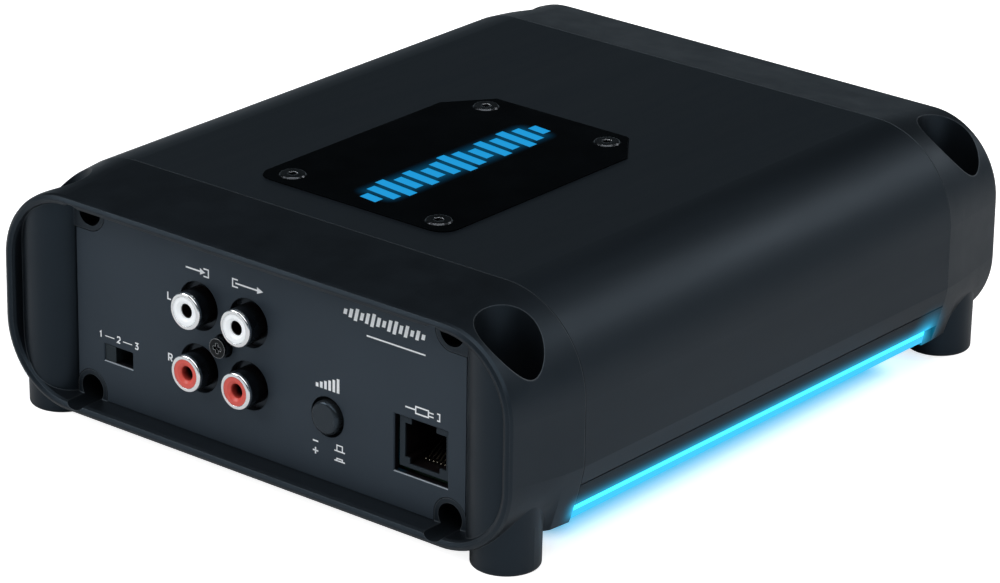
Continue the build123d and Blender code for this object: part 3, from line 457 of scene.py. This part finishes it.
fuse_finish = surface(
    "fuse_amber", (0.72, 0.30, 0.03), 0.22, mottle=0.05, edge=0.25, subsurface=0.3,
)
lens_finish = surface(
    "clear_lens", (0.55, 0.70, 0.75), 0.12, mottle=0.02, edge=0.1, transmission=0.7,
)
epoxy_finish = surface(
    "epoxy_black", (0.018, 0.018, 0.020), 0.55, grain=0.2, grain_height=0.02, edge=0.15,
)
ferrite_finish = surface(
    "ferrite", (0.035, 0.035, 0.037), 0.6, grain=0.15, grain_height=0.02, edge=0.25,
)
copper_finish = surface(
    "enamelled_copper", (0.60, 0.22, 0.07), 0.25, metallic=0.9, grain=0.9, grain_height=0.02,
    coat=0.6,
)
can_finish = surface(
    "capacitor_sleeve", (0.012, 0.012, 0.020), 0.25, grain=1.2, grain_height=0.01, edge=0.2, coat=0.2,
)
pad_finish = surface(
    "thermal_pad", (0.30, 0.31, 0.33), 0.75, grain=0.25, grain_height=0.03, edge=0.1,
)
steel_finish = surface(
    "zinc_steel", (0.52, 0.53, 0.54), 0.32, metallic=1.0, grain=0.3, grain_height=0.012,
    stretch=(1, 0.1, 1), edge=0.15,
)
lead_finish = surface(
    "lead_insulation", (0.015, 0.015, 0.015), 0.5, grain=0.3, grain_height=0.02, edge=0.1,
)
# White ink with a faint painted glow.
ink_finish = surface(
    "white_ink", (0.82, 0.84, 0.86), 0.5, grain=0.2, grain_height=0.004, mottle=0.03, edge=0.0,
    emission=(0.9, 0.95, 1.0), emission_strength=0.10,
)

FINISHES = {
    "heatsink_shell": shell_finish, "base_plate": base_finish,
    "front_end_cap": cap_finish, "rear_end_cap": rear_cap_finish,
    "front_panel": panel_finish, "rear_panel": rear_panel_finish,
    "badge_plate": badge_finish, "badge_light_guide": emblem_finish,
    "badge_screws": screw_finish, "cap_screws": deep_screw_finish, "board_screws": screw_finish,
    "rca_block_screw": jack_screw_finish, "clamp_screws": screw_finish, "terminal_screws": steel_finish,
    "badge_nuts": steel_finish, "rca_block": jack_block_finish,
    "power_terminal_block": connector_finish, "speaker_terminal_block": connector_finish,
    "mode_switch_body": shaded_pit_finish, "level_switch_body": shaded_pit_finish,
    "fuse_holder": connector_finish, "control_header": connector_finish,
    "remote_jack": jack_grey_finish, "level_button": button_finish,
    "mode_switch_knob": slide_finish,
    "gain_knob": knob_finish, "crossover_knob": knob_finish, "boost_knob": knob_finish,
    "rca_sleeves": nickel_finish, "terminal_cages": nickel_finish,
    "rca_inserts_white": white_finish, "rca_inserts_red": red_finish,
    "rca_contacts": gold_finish, "remote_jack_contacts": gold_finish,
    "light_bar_left": light_finish, "light_bar_right": light_finish,
    "light_strip_left": light_board_finish, "light_strip_right": light_board_finish,
    "emblem_light_board": light_board_finish,
    "main_board": board_finish, "control_board": board_finish,
    "blade_fuses": fuse_finish, "status_lenses": lens_finish,
    "control_pots": epoxy_finish, "control_chips": epoxy_finish,
    "power_transistors": epoxy_finish, "status_leds": light_board_finish,
    "transformer_core": ferrite_finish, "output_inductor": ferrite_finish,
    "transformer_winding": copper_finish, "bulk_capacitors": can_finish,
    "small_capacitors": can_finish, "thermal_pads": pad_finish, "clamp_bars": steel_finish,
    "emblem_lead": lead_finish,
}
for name, finish in FINISHES.items():
    mesh = nodes[name].data
    for index in range(len(mesh.materials)):
        mesh.materials[index] = finish


# ------------------------------------------------------------------ mesh helpers
def offset_line(points, width, closed):
    """Left and right edge of a ribbon along points, with mitred corners."""
    count = len(points)
    left, right = [], []
    for index, point in enumerate(points):
        here = Vector(point)
        before = Vector(points[index - 1]) if index or closed else None
        after = Vector(points[(index + 1) % count]) if index < count - 1 or closed else None
        ways = []
        if before is not None:
            ways.append((here - before).normalized())
        if after is not None:
            ways.append((after - here).normalized())
        sides = [Vector((-way.y, way.x)) for way in ways]
        mitre = sum(sides, Vector((0.0, 0.0)))
        mitre.normalize()
        reach = width / 2 / max(0.5, mitre.dot(sides[0]))
        left.append(here + mitre * reach)
        right.append(here - mitre * reach)
    return left, right


class Marks:
    """Thin raised marks on an upright face, drawn in millimetres of X and Z."""

    # a mark starts this far inside the face, so that no gap shows under it
    sunk = -0.01

    def __init__(self, name, face_y, outward, thick=0.03):
        self.name = name
        self.face_y = face_y
        self.outward = outward
        self.thick = thick
        self.bm = bmesh.new()

    def place(self, point, lift):
        x, z = point
        return self.bm.verts.new((x * MM, self.face_y + self.outward * lift * MM, z * MM))

    def plate(self, corners):
        """Closed thin plate with the given outline."""
        low = [self.place(point, self.sunk) for point in corners]
        high = [self.place(point, self.thick) for point in corners]
        self.bm.faces.new(low)
        self.bm.faces.new(high[::-1])
        count = len(corners)
        for index in range(count):
            after = (index + 1) % count
            self.bm.faces.new((low[index], high[index], high[after], low[after]))

    def line(self, points, width=0.32, closed=False):
        """Closed ribbon along a broken line."""
        left, right = offset_line(points, width, closed)
        rings = []
        for a, b in zip(left, right):
            ring = [(a, self.sunk), (a, self.thick), (b, self.thick), (b, self.sunk)]
            rings.append([self.place(point, lift) for point, lift in ring])
        count = len(rings)
        for index in range(count if closed else count - 1):
            here, after = rings[index], rings[(index + 1) % count]
            for side in range(4):
                along = (side + 1) % 4
                self.bm.faces.new((here[side], after[side], after[along], here[along]))
        if not closed:
            self.bm.faces.new(rings[0])
            self.bm.faces.new(rings[-1][::-1])

    def ring(self, x, z, radius, width=0.3, start=0.0, end=360.0, steps=28):
        whole = abs(end - start) >= 360.0
        count = steps if whole else steps + 1
        points = []
        for index in range(count):
            angle = math.radians(start + (end - start) * index / steps)
            points.append((x + radius * math.cos(angle), z + radius * math.sin(angle)))
        self.line(points, width, whole)

    def glyph(self, character, x, z, height, width=0.3, facing=1):
        """Digit or side letter whose lower left corner is at x, z; facing -1 reads from behind."""
        aspect = 0.62
        for stroke in GLYPHS[character]:
            points = [(x + facing * px * height * aspect, z + pz * height) for px, pz in stroke]
            self.line(points, width)

    def finish(self, slot, material, body=ROOT):
        bmesh.ops.recalc_face_normals(self.bm, faces=self.bm.faces)
        mesh = bpy.data.meshes.new(self.name)
        self.bm.to_mesh(mesh)
        self.bm.free()
        return settle(self.name, mesh, material, body)


GLYPHS = {
    "0": [[(0.2, 0), (0, 0.2), (0, 0.8), (0.2, 1), (0.8, 1), (1, 0.8), (1, 0.2), (0.8, 0), (0.2, 0)]],
    "1": [[(0.15, 0.78), (0.55, 1.0), (0.55, 0.0)]],
    "2": [[(0.0, 0.80), (0.2, 1.0), (0.8, 1.0), (1.0, 0.80), (1.0, 0.60), (0.0, 0.0), (1.0, 0.0)]],
    "3": [[(0, 1), (1, 1), (0.45, 0.56), (0.8, 0.56), (1, 0.36), (1, 0.2), (0.8, 0), (0.2, 0), (0, 0.15)]],
    "L": [[(0.0, 1.0), (0.0, 0.0), (0.9, 0.0)]],
    "R": [[(0, 0), (0, 1), (0.8, 1), (1, 0.86), (1, 0.6), (0.8, 0.46), (0.05, 0.46)], [(0.5, 0.40), (1, 0)]],
}


def settle(name, mesh, material, body=ROOT):
    """Object for a mesh that rides on a body."""
    mesh.materials.clear()
    mesh.materials.append(material)
    piece = bpy.data.objects.new(name, mesh)
    bpy.context.scene.collection.objects.link(piece)
    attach(piece, body)
    return piece


def centre_mm(node):
    """Centre of a node's box in millimetres."""
    low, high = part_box(node)
    return (low + high) / 2 / MM


# ------------------------------------------------------------------ front legends
HEAVY_PEN, BOLD_PEN, PLAIN_PEN, THIN_PEN, FINE_PEN, HAIR_PEN = 0.36, 0.34, 0.32, 0.28, 0.26, 0.20


def signal_arrows(marks, left_x, right_x, z):
    """Arrow into a bracket over the left jacks, arrow out of a bracket over the right ones."""
    half, tip = 0.85, 0.75
    marks.line([(left_x - 3.6, z), (left_x + 0.6, z)], HEAVY_PEN)
    marks.plate([(left_x + 0.5, z + tip), (left_x + 0.5, z - tip), (left_x + 2.0, z)])
    marks.line([(left_x + 1.5, z + half), (left_x + 2.9, z + half), (left_x + 2.9, z - half),
                (left_x + 1.5, z - half)], PLAIN_PEN)
    marks.line([(right_x - 2.9, z + half), (right_x - 4.4, z + half), (right_x - 4.4, z - half),
                (right_x - 2.9, z - half)], PLAIN_PEN)
    marks.line([(right_x - 3.6, z), (right_x + 2.6, z)], HEAVY_PEN)
    marks.plate([(right_x + 2.5, z + tip), (right_x + 2.5, z - tip), (right_x + 4.2, z)])


def jack_legend(marks):
    """Arrows over the jack block and the side letters of its two rows."""
    sleeve_radius, arrow_lift = 4.15, 8.0
    letter_back, letter_drop, letter_height = 8.9, 0.7, 1.6
    low, high = (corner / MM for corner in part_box("rca_sleeves"))
    left_x, right_x = low.x + sleeve_radius, high.x - sleeve_radius
    low_z, high_z = low.z + sleeve_radius, high.z - sleeve_radius
    signal_arrows(marks, left_x, right_x, high_z + arrow_lift)
    for letter, z in (("L", high_z), ("R", low_z)):
        marks.glyph(letter, left_x - letter_back, z - letter_drop, letter_height, BOLD_PEN)


def switch_legend(marks):
    """Numbers of the slide switch's three places, with dashes between them."""
    digit_height, digit_lift, dash_lift = 1.35, 2.9, 3.5
    switch = centre_mm("mode_switch_body")
    for digit, step in (("1", -5.6), ("2", -0.3), ("3", 5.0)):
        marks.glyph(digit, switch.x + step, switch.z + digit_lift, digit_height, PLAIN_PEN)
    z = switch.z + dash_lift
    for start, end in ((-3.9, -1.2), (1.4, 4.1)):
        marks.line([(switch.x + start, z), (switch.x + end, z)], HAIR_PEN)


def level_bars(marks, button):
    """Rising level bars over the push button."""
    bars, step, half = 6, 1.16, 0.36
    first_height, growth = 0.9, 0.46
    foot = button.z + 6.1
    for index in range(bars):
        x = button.x + step * (index - (bars - 1) / 2)
        top = foot + first_height + growth * index
        marks.plate([(x - half, foot), (x + half, foot), (x + half, top), (x - half, top)])


def button_places(marks, button):
    """Minus sign beside the button's out place, and plus sign beside its in place."""
    sign_x, sign_half = button.x - 3.35, 0.75
    for drop, pushed, stroke in ((6.3, False, 1.3), (8.5, True, 0.5)):
        z = button.z - drop
        base = z - 0.6
        marks.line([(sign_x - sign_half, z), (sign_x + sign_half, z)], BOLD_PEN)
        if pushed:
            marks.line([(sign_x, z - sign_half), (sign_x, z + sign_half)], BOLD_PEN)
        marks.line([(button.x + 1.9, base), (button.x + 4.8, base)], THIN_PEN)
        marks.line([(button.x + 2.6, base + 0.1), (button.x + 2.6, base + stroke),
                    (button.x + 4.1, base + stroke), (button.x + 4.1, base + 0.1)], THIN_PEN)


def socket_legend(marks):
    """Plug and lead over the modular socket."""
    legend_lift, half, wire_step = 2.5, 0.75, 0.4
    x = centre_mm("remote_jack").x
    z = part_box("remote_jack")[1].z / MM + legend_lift
    marks.line([(x - 4.6, z), (x - 1.9, z)], BOLD_PEN)
    marks.line([(x - 1.8, z - half), (x + 1.6, z - half), (x + 1.6, z + half), (x - 1.8, z + half)],
               PLAIN_PEN, closed=True)
    for step in (-wire_step, wire_step):
        marks.line([(x + 1.7, z + step), (x + 3.0, z + step)], THIN_PEN)
    marks.line([(x + 3.9, z - half), (x + 4.6, z - half), (x + 4.6, z + half), (x + 3.9, z + half)], 0.3)


def bar_motif(marks):
    """Plain row of leaning bars in the panel's upper corner, with a line under it."""
    heights = (1.2, 2.0, 2.8, 1.7, 2.4, 3.0, 2.1, 1.5, 2.6, 3.0, 1.9, 2.7, 1.4, 2.2, 1.2)
    first_x, step, middle_z, half, slope = 22.2, 1.5, 45.1, 0.45, 0.12
    for index, height in enumerate(heights):
        x = first_x + step * index
        lean = slope * height
        low, high = middle_z - height / 2, middle_z + height / 2
        marks.plate([(x - half - lean, low), (x + half - lean, low),
                     (x + half + lean, high), (x - half + lean, high)])
    line_start, line_end, line_z = 28.0, 43.8, 41.3
    marks.line([(line_start, line_z), (line_end, line_z)], BOLD_PEN)


def front_marks():
    marks = Marks("front_marks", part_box("front_panel")[0].y, -1)
    jack_legend(marks)
    switch_legend(marks)
    button = centre_mm("level_button")
    level_bars(marks, button)
    button_places(marks, button)
    socket_legend(marks)
    bar_motif(marks)
    return marks.finish("white_insulator", ink_finish)


# ------------------------------------------------------------------ rear legends
KNOBS = ("gain_knob", "crossover_knob", "boost_knob")
POWER_PLUS_X, POWER_GROUND_X, POWER_REMOTE_X = -44.4, -34.0, -25.2
SPEAKER_PLUS_X, SPEAKER_MINUS_X = 30.0, 40.0


def dial(marks, knob):
    """Scale from 0 to 10 round a knob, read from behind."""
    divisions, sweep_start, sweep = 10, 225, 270
    inner, outer, long_outer = 4.2, 5.2, 5.6
    for step in range(divisions + 1):
        angle = math.radians(sweep_start - sweep / divisions * step)
        end = outer if step % 5 else long_outer
        marks.line([(knob.x + inner * math.cos(angle), knob.z + inner * math.sin(angle)),
                    (knob.x + end * math.cos(angle), knob.z + end * math.sin(angle))], FINE_PEN)
    digit_drop, digit_height = 4.9, 1.2
    for digit, x in (("0", 6.1), ("1", -4.9), ("0", -5.9)):
        marks.glyph(digit, knob.x + x, knob.z - digit_drop, digit_height, 0.24, -1)


def plus_mark(marks, x, z, half):
    marks.line([(x - half, z), (x + half, z)], PLAIN_PEN)
    marks.line([(x, z - half), (x, z + half)], PLAIN_PEN)


def ground_mark(marks, x, z):
    """Three bars that narrow downwards, on a short stem."""
    for level, half in ((0.4, 1.2), (-0.2, 0.8), (-0.8, 0.4)):
        marks.line([(x - half, z + level), (x + half, z + level)], THIN_PEN)
    marks.line([(x, z + 0.5), (x, z + 1.3)], THIN_PEN)


def switch_on_mark(marks, x, z):
    """Open ring with a stroke in its gap, for the remote turn-on wire."""
    marks.ring(x, z, 0.9, THIN_PEN, -240, 60)
    marks.line([(x, z + 0.2), (x, z + 1.3)], THIN_PEN)


def fuse_mark(marks, x, z):
    """Narrow box with a lead at each end."""
    half, lead_end, half_height = 1.8, 3.0, 0.6
    marks.line([(x - lead_end, z), (x - half, z)], FINE_PEN)
    marks.line([(x + half, z), (x + lead_end, z)], FINE_PEN)
    marks.line([(x - half, z - half_height), (x + half, z - half_height), (x + half, z + half_height),
                (x - half, z + half_height)], FINE_PEN, closed=True)


def rear_marks():
    marks = Marks("rear_marks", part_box("rear_panel")[1].y, 1)
    for node in KNOBS:
        dial(marks, centre_mm(node))
    high_lift, low_lift, power_half, speaker_half = 2.4, 1.5, 1.1, 0.85
    block_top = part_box("power_terminal_block")[1].z / MM
    z, low_z = block_top + high_lift, block_top + low_lift
    plus_mark(marks, POWER_PLUS_X, z, power_half)
    plus_mark(marks, SPEAKER_PLUS_X, low_z, speaker_half)
    marks.line([(SPEAKER_MINUS_X - speaker_half, low_z), (SPEAKER_MINUS_X + speaker_half, low_z)], PLAIN_PEN)
    ground_mark(marks, POWER_GROUND_X, z)
    switch_on_mark(marks, POWER_REMOTE_X, z)
    fuse_mark(marks, centre_mm("fuse_holder").x, low_z)
    return marks.finish("white_insulator", ink_finish)


def fuse_marks():
    """Current rating moulded on the face of each fuse, read from behind."""
    face_thick, inset, digit_height, digit_pen = 0.06, 2.6, 2.0, 0.36
    low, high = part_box("blade_fuses")
    marks = Marks("fuse_marks", high.y, 1, face_thick)
    middle = (low.x + high.x) / 2 / MM
    for z in (low.z / MM + inset, high.z / MM - inset):
        for digit, x in (("3", 1.9), ("0", -0.4)):
            marks.glyph(digit, middle + x, z - digit_height / 2, digit_height, digit_pen, -1)
    return marks.finish("white_insulator", ink_finish)


# ------------------------------------------------------------------ wires and turns
def tube(bm, points, radius, sides=8, closed=False):
    """Round tube along points, with flat ends unless it is closed."""
    count = len(points)
    rings = []
    reference = None
    for index, point in enumerate(points):
        before = points[index - 1] if index or closed else point
        after = points[(index + 1) % count] if index < count - 1 or closed else point
        way = (after - before).normalized()
        if reference is None:
            reference = way.orthogonal().normalized()
        reference = (reference - way * reference.dot(way)).normalized()
        across = way.cross(reference)
        ring = []
        for side in range(sides):
            angle = 2 * math.pi * side / sides
            offset = math.cos(angle) * reference + math.sin(angle) * across
            ring.append(bm.verts.new(point + radius * offset))
        rings.append(ring)
    for index in range(count if closed else count - 1):
        here, after = rings[index], rings[(index + 1) % count]
        for side in range(sides):
            along = (side + 1) % sides
            bm.faces.new((here[side], here[along], after[along], after[side]))
    if not closed:
        bm.faces.new(rings[0][::-1])
        bm.faces.new(rings[-1])


def smooth_mesh(name, bm):
    """Smooth-shaded mesh made from a finished bmesh."""
    bmesh.ops.recalc_face_normals(bm, faces=bm.faces)
    mesh = bpy.data.meshes.new(name)
    bm.to_mesh(mesh)
    bm.free()
    for face in mesh.polygons:
        face.use_smooth = True
    return mesh


def socket_wires():
    """Six sprung wires that slope from the back of the modular socket down to its mouth."""
    low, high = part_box("remote_jack_contacts")
    bm = bmesh.new()
    count, inset, wire = 6, 0.22 * MM, 0.19 * MM
    for index in range(count):
        x = low.x + inset + (high.x - low.x - 2 * inset) * index / (count - 1)
        points = [
            Vector((x, high.y - 0.2 * MM, high.z - 0.2 * MM)),
            Vector((x, high.y - 0.9 * MM, high.z + 0.1 * MM)),
            Vector((x, high.y - 1.8 * MM, high.z - 0.3 * MM)),
            Vector((x, low.y + 1.2 * MM, low.z + 0.55 * MM)),
            Vector((x, low.y + 0.3 * MM, low.z + 0.25 * MM)),
            Vector((x, low.y, low.z + 0.5 * MM)),
        ]
        tube(bm, points, wire)
    piece = settle("socket_wires", smooth_mesh("socket_wires", bm), gold_finish)
    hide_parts("remote_jack_contacts")


def transformer_turns():
    """Two coils of enamelled wire laid turn by turn round the ring core."""
    low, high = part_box("transformer_winding")
    middle = (low + high) / 2
    core_low, core_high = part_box("transformer_core")
    wire, gap, corner, bore = 0.55 * MM, 0.15 * MM, 0.9 * MM, 8.5 * MM
    turns, coil_start, coil_sweep = 30, 12, 126
    outer = (core_high.x - core_low.x) / 2 + gap + wire
    inner = bore - gap - wire
    top, bottom = core_high.z + gap + wire, core_low.z - gap - wire
    bm = bmesh.new()
    for side in (0.0, 180.0):
        for layer, grow in ((0, 0.0), (1, 1.9 * wire)):
            for turn in range(turns - layer):
                angle = math.radians(side + coil_start + (turn + 0.5 * layer) * coil_sweep / turns)
                away = Vector((math.cos(angle), math.sin(angle), 0))
                far, near = outer + grow, inner - 0.6 * grow
                up, down = top + grow, max(bottom - grow, low.z + wire)
                section = [
                    (far - corner, down), (far, down + corner), (far, up - corner), (far - corner, up),
                    (near + corner, up), (near, up - corner), (near, down + corner), (near + corner, down),
                ]
                points = [
                    Vector((middle.x, middle.y, 0)) + away * reach + Vector((0, 0, height))
                    for reach, height in section
                ]
                tube(bm, points, wire, 6, closed=True)
    piece = settle("transformer_turns", smooth_mesh("transformer_turns", bm), copper_finish)
    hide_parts("transformer_winding")


front_marks()
rear_marks()
fuse_marks()
socket_wires()
transformer_turns()


# ------------------------------------------------------------------ floor, world and lights
FLOOR_PAINT = (0.80, 0.80, 0.805)
FLOOR_WHITE = 0.70
FLOOR_RAMP = 10.5 * MM
END_WHITE = 0.26
END_RAMP = 12.0 * MM
FLOOR_BLUE = 0.72
BLUE_REACH, BLUE_FADE = 14.0 * MM, 1.15
SIDE_INSET, END_INSET = 8.4 * MM, 1.5 * MM
WORLD_LOW, WORLD_HIGH, WORLD_HEIGHT = 0.42, 0.022, 0.36
SKY_COLOUR = (0.74, 0.89, 1.0)


def floor_material():
    """Pale floor with painted white light round the object, seen only by the camera, and a painted blue glow
    beside the light bars.
    """
    material = bpy.data.materials.new("floor_paint")
    material.use_nodes = True
    t = Tree(material)
    place = t.add("ShaderNodeTexCoord").outputs["Object"]
    open_x, open_y = BAR_LOW.x - SIDE_INSET, (BAR_HIGH.y - BAR_LOW.y) / 2 - END_INSET
    away = beyond(t, place, (0, BAR_CENTRE.y, 0), (open_x, open_y - 7 * MM, 1))
    open_share = t.add(
        "ShaderNodeMapRange",
        {"Value": away, "From Min": 0.0, "From Max": FLOOR_RAMP, "To Min": 0.0, "To Max": FLOOR_WHITE},
        interpolation_type="SMOOTHSTEP",
    )
    past_end = beyond(t, place, (0, BAR_CENTRE.y, 0), (1, open_y + 9 * MM, 1))
    end_share = t.add(
        "ShaderNodeMapRange",
        {"Value": past_end, "From Min": 0.0, "From Max": END_RAMP, "To Min": 0.0, "To Max": END_WHITE},
        interpolation_type="SMOOTHSTEP",
    )
    share = t.add("ShaderNodeMath", {0: open_share.outputs["Result"], 1: end_share.outputs["Result"]})
    seen = t.add("ShaderNodeLightPath").outputs["Is Camera Ray"]
    white = t.add("ShaderNodeMath", {0: share.outputs[0], 1: seen}, operation="MULTIPLY")
    strip_centre = (open_x + 1.5 * MM, BAR_CENTRE.y + 4 * MM, 0)
    strip = beyond(t, folded_x(t, place), strip_centre, (1.5 * MM, open_y - 5 * MM, 1))
    glow = falloff(t, strip, BLUE_REACH, BLUE_FADE, FLOOR_BLUE)
    blue = t.add("ShaderNodeMath", {0: glow, 1: seen}, operation="MULTIPLY")
    paint = t.add("ShaderNodeBsdfDiffuse", {"Color": rgba(FLOOR_PAINT)})
    white_light = t.add("ShaderNodeEmission", {"Color": (1, 1, 1, 1), "Strength": white.outputs[0]})
    blue_light = t.add("ShaderNodeEmission", {"Color": rgba(BLUE_LIGHT), "Strength": blue.outputs[0]})
    lit = t.add("ShaderNodeAddShader", {0: paint, 1: white_light})
    both = t.add("ShaderNodeAddShader", {0: lit, 1: blue_light})
    out = t.add("ShaderNodeOutputMaterial")
    t.set(out, "Surface", both)
    return material


def stage_floor():
    """Large square just under the feet."""
    mesh = bpy.data.meshes.new("floor")
    reach, level = 4.0, -0.05 * MM
    mesh.from_pydata(
        [(-reach, -reach, level), (reach, -reach, level), (reach, reach, level), (-reach, reach, level)],
        [],
        [(0, 1, 2, 3)],
    )
    floor = bpy.data.objects.new("floor", mesh)
    bpy.context.scene.collection.objects.link(floor)
    mesh.materials.append(floor_material())


def soft_light(name, place, target, size, power):
    """Rectangular area light that faces its target."""
    data = bpy.data.lights.new(name, "AREA")
    data.shape = "RECTANGLE"
    data.size, data.size_y = size
    data.energy = power
    light = bpy.data.objects.new(name, data)
    bpy.context.scene.collection.objects.link(light)
    light.location = place
    light.rotation_mode = "QUATERNION"
    light.rotation_quaternion = (Vector(target) - Vector(place)).to_track_quat("-Z", "Y")


def studio_world():
    """White to the camera, and to the object a dim sky that is brightest at the horizon."""
    world = bpy.data.worlds.new("studio")
    bpy.context.scene.world = world
    world.use_nodes = True
    t = Tree(world)
    seen = t.add("ShaderNodeLightPath")
    plain = t.add("ShaderNodeBackground", {"Color": (1, 1, 1, 1), "Strength": 1.0})
    way = t.add("ShaderNodeTexCoord")
    height = t.add("ShaderNodeSeparateXYZ", {0: way.outputs["Generated"]})
    level = t.add(
        "ShaderNodeMapRange",
        {
            "Value": height.outputs["Z"],
            "From Min": 0.0,
            "From Max": WORLD_HEIGHT,
            "To Min": WORLD_LOW,
            "To Max": WORLD_HIGH,
        },
        interpolation_type="SMOOTHSTEP",
    )
    dim = t.add("ShaderNodeBackground", {"Color": rgba(SKY_COLOUR), "Strength": level.outputs["Result"]})
    both = t.add("ShaderNodeMixShader", {0: seen.outputs["Is Camera Ray"], 1: dim, 2: plain})
    out = t.add("ShaderNodeOutputWorld")
    t.set(out, "Surface", both)


stage_floor()
studio_world()
soft_light("overhead", (0.25, -0.40, 1.20), (0, 0, 0.0), (1.5, 1.5), 12.0)
soft_light("front_left", (-1.0, -1.00, 0.95), (0, 0, 0.03), (0.8, 0.8), 8.5)
soft_light("right_fill", (1.3, 0.1, 0.90), (0.15, 0, 0.0), (0.8, 1.0), 4.2)
soft_light("right_back", (0.75, 1.40, 1.00), (0, 0, 0.03), (0.9, 0.8), 5.0)


# ------------------------------------------------------------------ camera
AZIMUTH, ELEVATION, ROLL = (math.radians(angle) for angle in (39.287, 21.571, 0.869))
DISTANCE = 1.0435
TARGET = Vector((0, 0, 0.028))
SENSOR_WIDTH, LENS = 36.0, 170.09
SHIFT_X, SHIFT_Y = -0.0100, -0.0366


def studio_camera():
    """Camera on the line from the target at the given azimuth, elevation and roll."""
    data = bpy.data.cameras.new("camera")
    camera = bpy.data.objects.new("camera", data)
    bpy.context.scene.collection.objects.link(camera)
    back = Vector(
        (
            math.sin(AZIMUTH) * math.cos(ELEVATION),
            -math.cos(AZIMUTH) * math.cos(ELEVATION),
            math.sin(ELEVATION),
        )
    )
    right = Vector((math.cos(AZIMUTH), math.sin(AZIMUTH), 0))
    up = right.cross(-back)
    turned_right = math.cos(ROLL) * right + math.sin(ROLL) * up
    turned_up = -math.sin(ROLL) * right + math.cos(ROLL) * up
    turn = Matrix((turned_right, turned_up, back)).transposed()
    camera.rotation_mode = "QUATERNION"
    camera.rotation_quaternion = turn.to_quaternion()
    camera.location = TARGET + back * DISTANCE
    data.sensor_width, data.lens = SENSOR_WIDTH, LENS
    data.shift_x, data.shift_y = SHIFT_X, SHIFT_Y
    data.clip_start, data.clip_end = 0.05, 20.0
    bpy.context.scene.camera = camera


studio_camera()
bpy.context.scene.view_settings.view_transform = "Standard"
